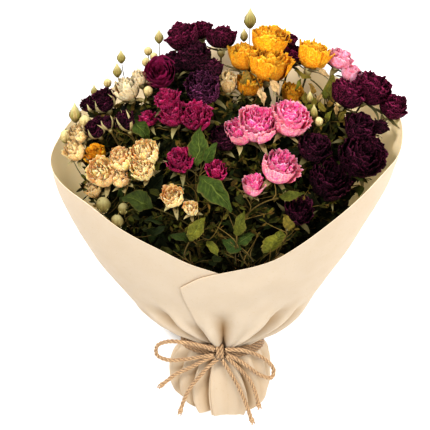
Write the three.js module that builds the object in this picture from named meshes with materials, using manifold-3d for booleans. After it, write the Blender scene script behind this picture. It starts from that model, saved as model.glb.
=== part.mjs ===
// A mixed bouquet of dried spray roses in a paper wrap tied with jute twine, lying on its back.
// Millimetres, +Z up. The bouquet lies along +Y, its flowers at the +Y end, on the surface z = 0.
import * as THREE from 'three';
import { mergeVertices } from 'three/addons/utils/BufferGeometryUtils.js';
import Module from 'manifold-3d';

const wasm = await Module();
wasm.setup();

// Driving dimensions
const AXIS_RISE = THREE.MathUtils.degToRad(20);
const NECK_HEIGHT = 30;
const REST_ALONG_Y = 140;
const MM_PER_PIXEL = 0.85;
const PAPER_THICK = 0.8;
const LAP_LIFT = 2.0;
const PLEATS = 10;
const TWINE_DIAMETER = 3.6;
const STEM_RADIUS = 2.5;
const STEM_SPACING = 5.4;
const STEM_FOOT = -44;
const GAP = 0.35;

// Where the picture sees things from
const NECK_SEEN = [222.5, 341];
const PICTURE_MIDDLE = 215;
const EYE_DISTANCE = 1400;
const EYE_LEAN = THREE.MathUtils.degToRad(28);

const SIDE = new THREE.Vector3(1, 0, 0);
const AXIS = new THREE.Vector3(0, Math.cos(AXIS_RISE), Math.sin(AXIS_RISE));
const FRONT = new THREE.Vector3(0, -Math.sin(AXIS_RISE), Math.cos(AXIS_RISE));
const NECK = new THREE.Vector3(0, -REST_ALONG_Y, NECK_HEIGHT);
const TO_EYE = AXIS.clone().multiplyScalar(Math.sin(EYE_LEAN))
  .addScaledVector(FRONT, Math.cos(EYE_LEAN));
const SEEN_UP = AXIS.clone().multiplyScalar(Math.cos(EYE_LEAN))
  .addScaledVector(FRONT, -Math.sin(EYE_LEAN));

// A place given by its distance across, along and in front of the bouquet's axis.
function inBouquet(across, along, ahead) {
  return NECK.clone()
    .addScaledVector(SIDE, across)
    .addScaledVector(AXIS, along)
    .addScaledVector(FRONT, ahead);
}

// The place seen at a pixel, so many millimetres nearer than the neck's axis.
function seenAt([u, v], near) {
  const shrink = MM_PER_PIXEL * (1 - near / EYE_DISTANCE);
  const middleAcross = (PICTURE_MIDDLE - NECK_SEEN[0]) * MM_PER_PIXEL;
  const middleUp = (NECK_SEEN[1] - PICTURE_MIDDLE) * MM_PER_PIXEL;
  return NECK.clone()
    .addScaledVector(SIDE, middleAcross + (u - PICTURE_MIDDLE) * shrink)
    .addScaledVector(SEEN_UP, middleUp + (PICTURE_MIDDLE - v) * shrink)
    .addScaledVector(TO_EYE, near);
}

// The flower heads lie on a dome that falls away to the back and to both sides.
const DOME_BACK = 60;
const DOME_RISE = 84;
const DOME_RUN = 72;
const DOME_TOP_SEEN = 20;
const DOME_HALF_WIDTH = 150;
const DOME_SIDE_FALL = 42;
const DOME_FRONT_SEEN = 190;
const DOME_FRONT_RUN = 80;
const DOME_FRONT_FALL = 26;

function domeNear([u, v]) {
  const run = Math.max(0, v - DOME_TOP_SEEN) / DOME_RUN;
  const offSide = (u - NECK_SEEN[0]) * MM_PER_PIXEL / DOME_HALF_WIDTH;
  const past = Math.max(0, v - DOME_FRONT_SEEN) / DOME_FRONT_RUN;
  return DOME_BACK + DOME_RISE * (1 - Math.exp(-run))
    - DOME_SIDE_FALL * offSide * offSide - DOME_FRONT_FALL * past * past;
}

// Seeded random numbers, one row of them for each name.
function randomFor(name) {
  let state = 2166136261;
  for (const letter of name) {
    state = Math.imul(state ^ letter.charCodeAt(0), 16777619);
  }
  return () => {
    state = (state + 0x6D2B79F5) | 0;
    let mixed = Math.imul(state ^ (state >>> 15), 1 | state);
    mixed = (mixed + Math.imul(mixed ^ (mixed >>> 7), 61 | mixed)) ^ mixed;
    return ((mixed ^ (mixed >>> 14)) >>> 0) / 4294967296;
  };
}

// A smooth curve through [position, value] pairs.
function smoothValue(pairs, position) {
  let index = 1;
  while (index < pairs.length - 1 && position > pairs[index][0]) {
    index += 1;
  }
  const [before, start, end, after] = [
    pairs[Math.max(0, index - 2)], pairs[index - 1], pairs[index],
    pairs[Math.min(pairs.length - 1, index + 1)]];
  const length = end[0] - start[0];
  const part = Math.min(1, Math.max(0, (position - start[0]) / length));
  const slopeIn = (end[1] - before[1]) / (end[0] - before[0]) * length;
  const slopeOut = (after[1] - start[1]) / (after[0] - start[0]) * length;
  const square = part * part;
  const cube = square * part;
  return start[1] * (2 * cube - 3 * square + 1) + slopeIn * (cube - 2 * square + part)
    + end[1] * (3 * square - 2 * cube) + slopeOut * (cube - square);
}

// Solids and rooms

// A closed solid from a three.js geometry, its shared corners merged and its faces outward.
function solidOf(geometry) {
  const bare = new THREE.BufferGeometry();
  bare.setAttribute('position', geometry.attributes.position);
  bare.setIndex(geometry.index);
  const merged = mergeVertices(bare, 1e-4);
  const positions = merged.attributes.position;
  const corners = merged.index.array;
  const kept = [];
  let volume = 0;
  for (let i = 0; i < corners.length; i += 3) {
    const [a, b, c] = [corners[i], corners[i + 1], corners[i + 2]];
    if (a !== b && b !== c && c !== a) {
      kept.push(a, b, c);
      const [first, second, third] = [a, b, c].map((corner) => (
        new THREE.Vector3().fromBufferAttribute(positions, corner)));
      volume += first.dot(second.cross(third));
    }
  }
  if (volume < 0) {
    kept.reverse();
  }
  return new wasm.Manifold(new wasm.Mesh({
    numProp: 3,
    vertProperties: new Float32Array(positions.array),
    triVerts: new Uint32Array(kept),
  }));
}

function geometryFrom(points, corners) {
  const geometry = new THREE.BufferGeometry().setFromPoints(points);
  geometry.setIndex(corners);
  return geometry;
}

// A thin sheet of columns by rows, split into triangles alike on both faces.
// place(column, row, face) gives each corner, face being 1 outside and -1 inside.
function slab(columns, rows, place) {
  const points = [];
  const corners = [];
  for (const face of [1, -1]) {
    for (let column = 0; column <= columns; column += 1) {
      for (let row = 0; row <= rows; row += 1) {
        points.push(place(column, row, face));
      }
    }
  }
  const at = (column, row, face) => (
    (face > 0 ? 0 : (columns + 1) * (rows + 1)) + column * (rows + 1) + row);
  const quad = (a, b, c, d) => corners.push(a, b, c, a, c, d);
  for (let column = 0; column < columns; column += 1) {
    for (let row = 0; row < rows; row += 1) {
      quad(at(column, row, 1), at(column + 1, row, 1), at(column + 1, row + 1, 1), at(column, row + 1, 1));
      const inside = [at(column, row, -1), at(column + 1, row, -1), at(column + 1, row + 1, -1)];
      corners.push(inside[2], inside[1], inside[0]);
      corners.push(at(column, row + 1, -1), inside[2], inside[0]);
    }
    quad(at(column, 0, -1), at(column + 1, 0, -1), at(column + 1, 0, 1), at(column, 0, 1));
    quad(at(column, rows, 1), at(column + 1, rows, 1), at(column + 1, rows, -1), at(column, rows, -1));
  }
  for (let row = 0; row < rows; row += 1) {
    quad(at(0, row, -1), at(0, row, 1), at(0, row + 1, 1), at(0, row + 1, -1));
    quad(at(columns, row, 1), at(columns, row, -1), at(columns, row + 1, -1), at(columns, row + 1, 1));
  }
  return geometryFrom(points, corners);
}

// A blade with sharp edges: rows of left edge, upper rib, right edge and lower rib
// between two points, split into triangles alike on both faces.
function lens(rows, place) {
  const points = [place(0, 0)];
  for (let row = 1; row < rows; row += 1) {
    for (let corner = 0; corner < 4; corner += 1) {
      points.push(place(row, corner));
    }
  }
  points.push(place(rows, 0));
  const at = (row, corner) => 1 + (row - 1) * 4 + (corner % 4);
  const tip = points.length - 1;
  const corners = [];
  for (let corner = 0; corner < 4; corner += 1) {
    corners.push(0, at(1, corner + 1), at(1, corner));
    corners.push(tip, at(rows - 1, corner), at(rows - 1, corner + 1));
    for (let row = 1; row < rows - 1; row += 1) {
      const [a, b] = [at(row, corner), at(row, corner + 1)];
      const [c, d] = [at(row + 1, corner + 1), at(row + 1, corner)];
      if (corner % 2 === 0) {
        corners.push(a, b, c, a, c, d);
      } else {
        corners.push(a, b, d, b, c, d);
      }
    }
  }
  return geometryFrom(points, corners);
}

// A piece is a function from a growth in millimetres to a solid, so that the same
// function gives the piece at 0 and the room that its neighbours leave it at GAP.
function fused(pieces, growth) {
  return wasm.Manifold.union(pieces.map((piece) => piece(growth)));
}

function largestBody(solid) {
  const bodies = solid.decompose();
  return bodies.reduce((best, body) => (body.volume() > best.volume() ? body : best));
}

function geometryOf(solid) {
  const mesh = solid.getMesh();
  const geometry = new THREE.BufferGeometry();
  geometry.setAttribute('position', new THREE.BufferAttribute(mesh.vertProperties, 3));
  geometry.setIndex(new THREE.BufferAttribute(mesh.triVerts, 1));
  geometry.computeVertexNormals();
  return geometry;
}

// Moves every corner of a geometry to place(corner).
function reshaped(geometry, place) {
  const positions = geometry.attributes.position;
  for (let i = 0; i < positions.count; i += 1) {
    const corner = place(new THREE.Vector3().fromBufferAttribute(positions, i));
    positions.setXYZ(i, corner.x, corner.y, corner.z);
  }
  return geometry;
}

// A tube bent along a curve. The profile lists [part of the way, radius] pairs.
function bentTube(curve, profile, sides, growth) {
  const steps = profile.length - 1;
  const frames = framesAlong(curve, profile.map((stop) => stop[0]));
  return solidOf(reshaped(new THREE.CylinderGeometry(1, 1, 1, sides, steps), (corner) => {
    const row = Math.round((corner.y + 0.5) * steps);
    const reach = Math.hypot(corner.x, corner.z);
    const angle = Math.atan2(corner.x, corner.z);
    const radius = (profile[row][1] + growth) * Math.min(1, reach);
    const { point, tangent, normal, binormal } = frames[row];
    const push = row === 0 ? -growth : row === steps ? growth : 0;
    return point.clone()
      .addScaledVector(tangent, push)
      .addScaledVector(normal, radius * Math.cos(angle))
      .addScaledVector(binormal, radius * Math.sin(angle));
  }));
}

// Places along a curve with axes that turn as little as they can.
const FIRST_NORMAL = new THREE.Vector3(1, 0.2, 0.3);

function framesAlong(curve, stops) {
  const frames = [];
  let normal = null;
  for (const stop of stops) {
    const tangent = curve.getTangent(stop);
    const guide = normal ?? FIRST_NORMAL;
    normal = guide.clone().addScaledVector(tangent, -guide.dot(tangent)).normalize();
    const binormal = new THREE.Vector3().crossVectors(tangent, normal);
    frames.push({ point: curve.getPoint(stop), tangent, normal: normal.clone(), binormal });
  }
  return frames;
}

// Paper wrap

// Half-width of the sheet, and its depth before and behind the axis, along the bouquet.
const HALF_WIDTH = [[-62, 36], [-50, 41], [-30, 44], [-14, 37], [-7, 30], [1, 29.5], [9, 43], [19, 63], [33, 75],
  [47, 83], [69, 97], [90, 109], [110, 118], [130, 126], [158, 135], [180, 139], [200, 141], [245, 143]];
const FRONT_DEPTH = [[-62, 19], [-50, 23], [-30, 26], [-14, 21], [-7, 17.7], [1, 17.5], [9, 22], [19, 29], [33, 36],
  [69, 51], [110, 68], [158, 87], [200, 98], [245, 106]];
const BACK_DEPTH = [[-62, 22], [-50, 25], [-30, 27], [-14, 22], [-7, 17.7], [1, 17.5], [9, 24], [19, 38], [33, 50],
  [69, 66], [110, 80], [158, 98], [200, 113], [245, 129]];

// The sheet is followed from its hidden edge at the front, round the left side and the back,
// to its lapped edge at the front again; turns are in degrees, 0 at the front, + to the right.
const HIDDEN_EDGE = 18;
const LAPPED_EDGE = -378;
const UPPER_RIM = [[-378, 80], [-376, 88], [-371, 97], [-363, 104], [-360, 106], [-342, 117], [-332, 131],
  [-318, 155], [-305, 174], [-296, 183], [-280, 188], [-273, 194], [-263, 201], [-204, 209], [-180, 221],
  [-150, 204], [-114, 182], [-103, 176], [-82, 171], [-65, 167], [-50, 160], [-38, 144], [-23, 127],
  [-13, 114], [-3, 105], [5, 96], [18, 78]];
const LOWER_RIM = [[-180, -44], [-100, -42], [-60, -47], [-28, -58], [0, -56], [40, -55], [70, -46],
  [100, -42], [180, -44]];

// Folds gathered by the twine: from the neck they fade up the sheet and down the skirt.
const FOLD_CORE = 14.6;
const FOLD_STRENGTH = [[-62, 0.2], [-35, 0.3], [-16, 0.7], [-8, 1], [2, 1], [13, 0.5], [28, 0.16], [46, 0],
  [250, 0]];

const DEEPEST_FOLD = 0.3;

function sheetLift(turn) {
  return LAP_LIFT * THREE.MathUtils.smoothstep(-turn, 60, 300);
}

function sheetMiddle(turn, along) {
  const angle = THREE.MathUtils.degToRad(turn);
  const depth = smoothValue(Math.cos(angle) > 0 ? FRONT_DEPTH : BACK_DEPTH, along);
  const across = smoothValue(HALF_WIDTH, along) * Math.sin(angle);
  const ahead = depth * Math.cos(angle);
  const reach = Math.hypot(across, ahead);
  const valley = 0.5 + 0.5 * Math.cos(PLEATS * angle);
  const fold = valley * smoothValue(FOLD_STRENGTH, along);
  const keep = 1 - fold * Math.min(1 - FOLD_CORE / reach, DEEPEST_FOLD) + sheetLift(turn) / reach;
  return inBouquet(across * keep, along, ahead * keep);
}

function sheetNormal(turn, along) {
  const ahead = sheetMiddle(turn - 1, along).sub(sheetMiddle(turn + 1, along));
  const up = sheetMiddle(turn, along + 0.5).sub(sheetMiddle(turn, along - 0.5));
  return new THREE.Vector3().crossVectors(up, ahead).normalize();
}

function wrappedTurn(turn) {
  return ((turn + 540) % 360) - 180;
}

const SHEET_COLUMNS = 44;
const SHEET_SKIRT_ROWS = [0, 0.36, 0.74, 1];
const SHEET_CONE_ROWS = [0, 0.09, 0.3, 0.63, 1];
const SHEET_NECK_FOOT = -8;
const SHEET_NECK_TOP = 1.5;
const ROOM_PAST_EDGE = 1.2;

function paperWrap(growth) {
  const rows = SHEET_SKIRT_ROWS.length + SHEET_CONE_ROWS.length - 1;
  const pastEdge = growth > 0 ? ROOM_PAST_EDGE : 0;
  return solidOf(slab(SHEET_COLUMNS, rows, (column, row, face) => {
    const edge = column === 0 ? -pastEdge : column === SHEET_COLUMNS ? pastEdge : 0;
    const turn = THREE.MathUtils.lerp(LAPPED_EDGE, HIDDEN_EDGE, column / SHEET_COLUMNS) + edge;
    const top = smoothValue(UPPER_RIM, turn) + growth;
    const bottom = smoothValue(LOWER_RIM, wrappedTurn(turn)) - growth;
    const along = row < SHEET_SKIRT_ROWS.length
      ? THREE.MathUtils.lerp(bottom, SHEET_NECK_FOOT, SHEET_SKIRT_ROWS[row])
      : THREE.MathUtils.lerp(SHEET_NECK_TOP, top, SHEET_CONE_ROWS[row - SHEET_SKIRT_ROWS.length]);
    const place = sheetMiddle(turn, along)
      .addScaledVector(sheetNormal(turn, along), face * (PAPER_THICK / 2 + growth));
    place.z = Math.max(place.z, face > 0 ? -growth : PAPER_THICK + growth);
    return place;
  }));
}

// Twine

// Each stretch of the bow as [pixel, nearness] along its middle, from the knot outward.
const TWINE_STEP = 2.6 * TWINE_DIAMETER;
const TWINE_RUNS = {
  twine_loop_left: [[[214, 349.8], 26.5], [[200, 345.5], 33], [[184, 342.5], 37], [[168, 341.5], 34],
    [[157, 346], 26], [[157, 355], 21], [[168, 360], 17], [[184, 359.5], 17], [[200, 357], 21],
    [[214, 354.8], 25]],
  twine_loop_right: [[[225.5, 349.5], 26], [[240, 350], 27], [[256, 354.5], 21], [[267, 361], 15],
    [[273.5, 369.5], 10.5], [[271.5, 377.5], 8.5], [[262, 376], 11], [[249, 367.5], 17.5],
    [[237, 359.5], 23], [[226.5, 355], 25.5]],
  twine_end_1: [[[211, 359.8], 23], [[199, 364.5], 18], [[187, 369], 12.5], [[176, 374], 8],
    [[166, 381.5], 4], [[158, 387.5], 1]],
  twine_end_2: [[[216.6, 363.5], 23], [[208, 369], 19], [[199, 377], 14.5], [[190, 388], 9],
    [[184, 400], 4.5], [[179, 415], 2]],
  twine_end_3: [[[228.6, 360.5], 22.5], [[239, 369.5], 19], [[249, 379.5], 14.5], [[255, 392], 8],
    [[259.5, 409], 2]],
  twine_end_4: [[[222.8, 364], 23], [[231, 374.5], 18.5], [[238.5, 387], 13], [[245.5, 403], 6],
    [[253, 424], -1]],
};

function twineCurve(name) {
  return new THREE.CatmullRomCurve3(TWINE_RUNS[name].map(([seen, near]) => seenAt(seen, near)));
}

function twineTube(name) {
  return (growth) => {
    const curve = twineCurve(name);
    const round = new THREE.Shape();
    round.absarc(0, 0, TWINE_DIAMETER / 2 + growth, 0, 2 * Math.PI);
    const steps = Math.ceil(curve.getLength() / TWINE_STEP);
    return solidOf(new THREE.ExtrudeGeometry(round, { curveSegments: 4, steps, extrudePath: curve }));
  };
}

// Three turns of twine side by side round the neck, made as one band.
const BINDING_MIDDLE = -3.4;
const BINDING_HALF_HEIGHT = 1.35 * TWINE_DIAMETER;
const BINDING_OFF_PAPER = 2.6 * GAP;

function twineBinding(growth) {
  const halfHeight = BINDING_HALF_HEIGHT + growth;
  const halfThick = TWINE_DIAMETER / 2 + growth;
  const offset = LAP_LIFT + PAPER_THICK / 2 + BINDING_OFF_PAPER + TWINE_DIAMETER / 2;
  const half = smoothValue(HALF_WIDTH, 0) + offset;
  const depth = smoothValue(FRONT_DEPTH, 0) + offset;
  const ring = 10;
  return solidOf(reshaped(new THREE.TorusGeometry(ring, 1, 6, 30), (corner) => {
    const turn = Math.atan2(corner.y, corner.x);
    const outward = Math.hypot(corner.x, corner.y) - ring;
    const across = (half + outward * halfThick) * Math.cos(turn);
    const ahead = (depth + outward * halfThick) * Math.sin(turn);
    return inBouquet(-across, BINDING_MIDDLE + corner.z * halfHeight, ahead);
  }));
}

const KNOT_TOP = [[220, 343.5], 25];
const KNOT_FOOT = [[220, 363], 23];
const KNOT_PROFILE = [[0, 2.4], [0.25, 4.4], [0.75, 4.6], [1, 2.6]];

function twineKnot(growth) {
  return bentTube(new THREE.LineCurve3(seenAt(...KNOT_TOP), seenAt(...KNOT_FOOT)), KNOT_PROFILE, 8, growth);
}

// Flower heads

// Each kind of head is turned from a profile of [part of the radius, part of the height]
// pairs, from its base over the outer petals and the folds between layers to its middle.
const HEAD_PROFILES = {
  large: [[0, 0], [0.7, 0.12], [1, 0.6], [0.78, 0.56], [0.64, 0.88], [0.42, 0.68], [0.26, 0.94],
    [0, 0.74]],
  middle: [[0, 0], [0.72, 0.14], [1, 0.6], [0.72, 0.62], [0.5, 0.94], [0, 0.78]],
  small: [[0, 0], [0.78, 0.2], [0.96, 0.66], [0.5, 0.98], [0, 0.84]],
};
const HEAD_COLUMNS = { large: 9, middle: 8, small: 7 };
const PETALS_AROUND = 5;
const LARGE_WIDE = 27;
const MIDDLE_WIDE = 17;
const HEAD_SPREAD = 0.8;
const SPREAD_FROM_V = 150;
const TURNED_TO_EYE = 0.3;
const HEAD_TALL = 0.74;
const LOBE_DEEP = 0.07;
const RUFFLE_DEEP = 0.1;
const RUFFLE_HIGH = 0.08;

function headSize(head) {
  if (head.wide > LARGE_WIDE) {
    return 'large';
  }
  return head.wide > MIDDLE_WIDE ? 'middle' : 'small';
}

// The way a head faces: outward from the bouquet, part of the way toward the eye.
function headFacing(head) {
  const across = (head.seen[0] - NECK_SEEN[0]) * MM_PER_PIXEL / DOME_HALF_WIDTH;
  const ahead = (head.seen[1] - SPREAD_FROM_V) * MM_PER_PIXEL / DOME_HALF_WIDTH;
  const outward = AXIS.clone()
    .addScaledVector(SIDE, HEAD_SPREAD * across)
    .addScaledVector(FRONT, HEAD_SPREAD * ahead);
  const [right, up] = head.lean ?? [0, 0];
  return outward.normalize().lerp(TO_EYE, head.face ?? TURNED_TO_EYE)
    .addScaledVector(SIDE, right).addScaledVector(SEEN_UP, up).normalize();
}

function headFrame(head) {
  const up = headFacing(head);
  const middle = seenAt(head.seen, domeNear(head.seen) + (head.lift ?? 0));
  const height = head.wide * (head.tall ?? HEAD_TALL);
  const base = middle.clone().addScaledVector(up, -0.5 * height);
  const right = new THREE.Vector3().crossVectors(SEEN_UP, up).normalize();
  const forward = new THREE.Vector3().crossVectors(up, right);
  return { middle, base, up, right, forward, height };
}

// The petals of one head. Its room has no folds, so nothing else reaches between the layers.
function flowerHead(head) {
  const { base, up, right, forward, height } = headFrame(head);
  const size = headSize(head);
  const profile = HEAD_PROFILES[size];
  const random = randomFor(`${head.colour} ${head.seen}`);
  const lobeTurns = profile.map(() => 2 * Math.PI * random());
  const ruffles = profile.map(() => Array.from({ length: HEAD_COLUMNS[size] }, () => random() - 0.5));
  return (growth) => {
    const rows = profile.length - 1;
    const columns = HEAD_COLUMNS[size];
    const ball = new THREE.SphereGeometry(1, columns, rows);
    return solidOf(reshaped(ball, (corner) => {
      const row = rows - Math.round(Math.acos(THREE.MathUtils.clamp(corner.y, -1, 1)) / Math.PI * rows);
      const angle = Math.atan2(corner.z, corner.x);
      const column = Math.round((angle / (2 * Math.PI) + 1) * columns) % columns;
      let [reach, rise] = profile[row];
      const onPole = row === 0 || row === rows;
      const ruffle = onPole ? 0 : ruffles[row][column];
      const lobe = 1 + LOBE_DEEP * Math.cos(PETALS_AROUND * angle + lobeTurns[row]) + RUFFLE_DEEP * ruffle;
      if (growth > 0 && row > rows / 2) {
        rise = Math.max(rise, 0.98);
      }
      const radius = reach * lobe * head.wide / 2 + (onPole ? 0 : growth);
      const lift = rise * (1 + RUFFLE_HIGH * ruffle) * height + (row > 1 ? growth : -growth);
      return base.clone()
        .addScaledVector(right, -radius * Math.cos(angle))
        .addScaledVector(forward, radius * Math.sin(angle))
        .addScaledVector(up, lift);
    }));
  };
}

// Leaves

// A leaf is a blade with a toothed edge, folded along its midrib and arched along it.
const LEAF_HALF_THICK = 0.5;
const LEAF_ROOT = 1.5;
const TOOTH = 0.07;
const LEAF_ROLL = 0.8;
const LEAF_TILT = 0.5;
const LEAST_FOLD = 0.15;
const FOLD_RANGE = 0.4;
const LEAST_ARCH = 0.06;
const ARCH_RANGE = 0.12;
const WIDEST_POWER = 0.85;
const FINE_ROWS = 8;
const PLAIN_ROWS = 6;
const FILLER_ROWS = 4;
const SEPAL_ROWS = 3;

function leafBlade(base, tip, wide, name, rows) {
  const random = randomFor(name);
  const length = base.distanceTo(tip);
  const reach = tip.clone().sub(base).normalize();
  const face = TO_EYE.clone().addScaledVector(SIDE, LEAF_ROLL * (random() - 0.5))
    .addScaledVector(SEEN_UP, LEAF_TILT * random());
  const across = new THREE.Vector3().crossVectors(reach, face).normalize();
  const over = new THREE.Vector3().crossVectors(across, reach).normalize();
  const fold = LEAST_FOLD + FOLD_RANGE * random();
  const arch = (LEAST_ARCH + ARCH_RANGE * random()) * length;
  return (growth) => solidOf(lens(rows, (row, corner) => {
    const part = row / rows;
    const onEnd = row === 0 ? -1 : row === rows ? 1 : 0;
    const sunk = row === 0 ? -LEAF_ROOT : 0;
    const tooth = 1 + (row % 2 === 0 ? -TOOTH : TOOTH);
    const halfWide = wide / 2 * Math.sin(Math.PI * Math.pow(part, WIDEST_POWER)) * tooth;
    const out = onEnd ? 0 : [-1, 0, 1, 0][corner] * (halfWide + growth);
    const thick = onEnd ? 0 : [0, 1, 0, -1][corner] * (LEAF_HALF_THICK + growth);
    return base.clone()
      .addScaledVector(reach, part * length + onEnd * growth + sunk)
      .addScaledVector(across, out)
      .addScaledVector(over, arch * Math.sin(Math.PI * part) + fold * Math.abs(out) + thick);
  }));
}

// Layout: every head, bud and leaf is placed where the picture shows it

const SPRAYS = [
  { name: 'spray_burgundy_top', filler: 1, heads: [
    { node: 'bloom_burgundy_top', colour: 'burgundy', seen: [182, 34], wide: 30, lean: [-0.3, 0.1] },
    { node: 'bloom_burgundy_top', colour: 'burgundy', seen: [200, 31], wide: 18, lift: -5 },
    { node: 'bloom_burgundy_stem', colour: 'burgundy', seen: [221, 34], wide: 24, face: 0.1 }] },
  { name: 'spray_purple_back', filler: 1, heads: [
    { node: 'bloom_purple_back', colour: 'darkest', seen: [195, 53], wide: 31, lift: 4 },
    { node: 'bloom_purple_back', colour: 'darkest', seen: [174, 60], wide: 24, lift: -4 },
    { node: 'bloom_purple_back', colour: 'darkest', seen: [211, 69], wide: 20, face: 0 },
    { node: 'bloom_purple_middle', colour: 'darkest', seen: [204, 89], wide: 29, face: 0.5 }] },
  { name: 'spray_magenta_upper', filler: 1, heads: [
    { node: 'bloom_burgundy_round', colour: 'burgundy', seen: [159, 73], wide: 31, face: 0.75 },
    { node: 'bloom_magenta_upper', colour: 'magenta', seen: [168, 99], wide: 20, lift: 3 },
    { node: 'bloom_magenta_upper', colour: 'magenta', seen: [174, 114], wide: 22 },
    { node: 'bloom_magenta_upper', colour: 'magenta', seen: [197, 117], wide: 25, face: 0.5 },
    { node: 'bloom_magenta_dim', colour: 'magenta', seen: [149, 119], wide: 14, lift: -12 }] },
  { name: 'spray_burgundy_left', filler: 1, heads: [
    { node: 'bloom_burgundy_left', colour: 'darkest', seen: [103, 101], wide: 21 },
    { node: 'bloom_burgundy_left', colour: 'darkest', seen: [89, 104], wide: 14 },
    { node: 'bloom_dark_left', colour: 'darkest', seen: [95, 129], wide: 17 },
    { node: 'bloom_dark_left', colour: 'darkest', seen: [106, 123], wide: 13, face: 0 },
    { node: 'bloom_dark_bud', colour: 'darkest', seen: [125, 121], wide: 15, tall: 1, face: 0, sepals: 4 }] },
  { name: 'spray_ivory_top', filler: 0, heads: [
    { node: 'bloom_ivory_top', colour: 'ivory', seen: [127, 89], wide: 20, tall: 0.9 },
    { node: 'bloom_ivory_top', colour: 'ivory', seen: [139, 78], wide: 13, tall: 0.9 }],
  buds: [[159, 37], [148, 49], [154, 55], [146, 60], [121, 57], [117, 71], [107, 81], [94, 90], [148, 90]] },
  { name: 'spray_ivory_left', filler: 0, heads: [
    { node: 'bloom_ivory_left', colour: 'ivory', seen: [75, 151], wide: 17, tall: 0.9 },
    { node: 'bloom_ivory_left', colour: 'ivory', seen: [78, 134], wide: 16, tall: 0.9 },
    { node: 'bloom_ivory_low', colour: 'ivory', seen: [93, 189], wide: 14, tall: 0.9, lift: -8 }],
  buds: [[75, 116], [85, 122], [66, 137], [103, 206], [123, 208], [117, 221]] },
  { name: 'spray_cream', filler: 1, heads: [
    { node: 'bloom_cream', colour: 'cream', seen: [103, 173], wide: 25, tall: 0.85, face: 0.5 },
    { node: 'bloom_cream', colour: 'cream', seen: [121, 157], wide: 22, tall: 0.9, face: 0.4 },
    { node: 'bloom_cream', colour: 'cream', seen: [119, 176], wide: 17, tall: 0.9, lift: -4 },
    { node: 'bloom_cream', colour: 'cream', seen: [144, 148], wide: 25, tall: 0.85, face: 0.4 },
    { node: 'bloom_cream', colour: 'cream', seen: [143, 166], wide: 21, tall: 0.9, face: 0.5 },
    { node: 'bloom_yellow_left', colour: 'yellow', seen: [96, 155], wide: 18, lift: -10 }] },
  { name: 'spray_cream_front', filler: 0, heads: [
    { node: 'bloom_cream_front', colour: 'cream', seen: [173, 197], wide: 19, face: 0.5, sepals: 4 },
    { node: 'bloom_cream_small', colour: 'cream', seen: [191, 209], wide: 12, tall: 1 }],
  leaves: [{ seen: [196, 230], long: 20, wide: 12, points: 60, lift: 9 },
    { seen: [212, 248], long: 17, wide: 7, points: -50 }] },
  { name: 'spray_yellow', filler: 1, heads: [
    { node: 'bloom_yellow', colour: 'yellow', seen: [243, 55], wide: 26, face: 0.2 },
    { node: 'bloom_yellow', colour: 'yellow', seen: [270, 42], wide: 31, face: 0.3, lift: 8 },
    { node: 'bloom_yellow', colour: 'yellow', seen: [270, 66], wide: 33, face: 0.2 },
    { node: 'bloom_yellow', colour: 'yellow', seen: [250, 84], wide: 23, lift: -12 },
    { node: 'bloom_ivory_back', colour: 'ivory', seen: [228, 80], wide: 15, tall: 1.3, lift: -6 }],
  buds: [[250, 22], [244, 35]] },
  { name: 'spray_yellow_right', filler: 1, heads: [
    { node: 'bloom_yellow_right', colour: 'yellow', seen: [314, 56], wide: 30, face: 0.1, sepals: 4 },
    { node: 'bloom_yellow_dim', colour: 'yellow', seen: [293, 94], wide: 20, lift: -22 },
    { node: 'bloom_burgundy_back', colour: 'burgundy', seen: [286, 41], wide: 18, lift: -2 },
    { node: 'bloom_burgundy_back', colour: 'burgundy', seen: [292, 55], wide: 22, lift: -12 },
    { node: 'bloom_pale_pink', colour: 'palePink', seen: [340, 59], wide: 20 },
    { node: 'bloom_pale_pink', colour: 'palePink', seen: [351, 73], wide: 17, lift: -4 }] },
  { name: 'spray_pink', filler: 1, heads: [
    { node: 'bloom_pink', colour: 'pink', seen: [259, 125], wide: 33, face: 0.5, lean: [0, 0.15] },
    { node: 'bloom_pink', colour: 'pink', seen: [240, 132], wide: 24, lift: -5 },
    { node: 'bloom_pink', colour: 'pink', seen: [291, 119], wide: 31, face: 0.4, lean: [0.1, 0.2] }],
  buds: [[314, 111], [319, 120], [340, 101], [310, 96]] },
  { name: 'spray_pink_low', filler: 0, heads: [
    { node: 'bloom_pink_low', colour: 'pink', seen: [280, 167], wide: 29, tall: 0.9, lean: [0.3, 0.3] },
    { node: 'bloom_pink_side', colour: 'pink', seen: [254, 185], wide: 17, tall: 1, face: 0, lift: -6 }],
  leaves: [{ seen: [241, 222], long: 22, wide: 12, points: 80 }] },
  { name: 'spray_dark_right', filler: 1, heads: [
    { node: 'bloom_purple_right', colour: 'burgundy', seen: [348, 94], wide: 28, face: 0.1 },
    { node: 'bloom_purple_right', colour: 'burgundy', seen: [372, 89], wide: 31, face: 0.3 },
    { node: 'bloom_purple_right', colour: 'burgundy', seen: [393, 107], wide: 23 },
    { node: 'bloom_purple_shade', colour: 'darkest', seen: [361, 128], wide: 28, face: 0.4 },
    { node: 'bloom_purple_shade', colour: 'darkest', seen: [380, 127], wide: 12, tall: 1, face: 0 }] },
  { name: 'spray_darkest', filler: 1, heads: [
    { node: 'bloom_darkest', colour: 'darkest', seen: [361, 157], wide: 37, face: 0.5, lift: 3 },
    { node: 'bloom_darkest', colour: 'darkest', seen: [330, 179], wide: 37, face: 0.5, lift: -8 },
    { node: 'bloom_darkest_low', colour: 'darkest', seen: [299, 211], wide: 24, lift: -8 },
    { node: 'bloom_dark_middle', colour: 'darkest', seen: [314, 147], wide: 26 }] },
  { name: 'spray_magenta_middle', filler: 0, heads: [
    { node: 'bloom_magenta_middle', colour: 'magenta', seen: [181, 160], wide: 22 },
    { node: 'bloom_magenta_low', colour: 'magenta', seen: [217, 171], wide: 16, tall: 1 },
    { node: 'bloom_dark_behind', colour: 'darkest', seen: [224, 138], wide: 24, lift: -10 }],
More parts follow.
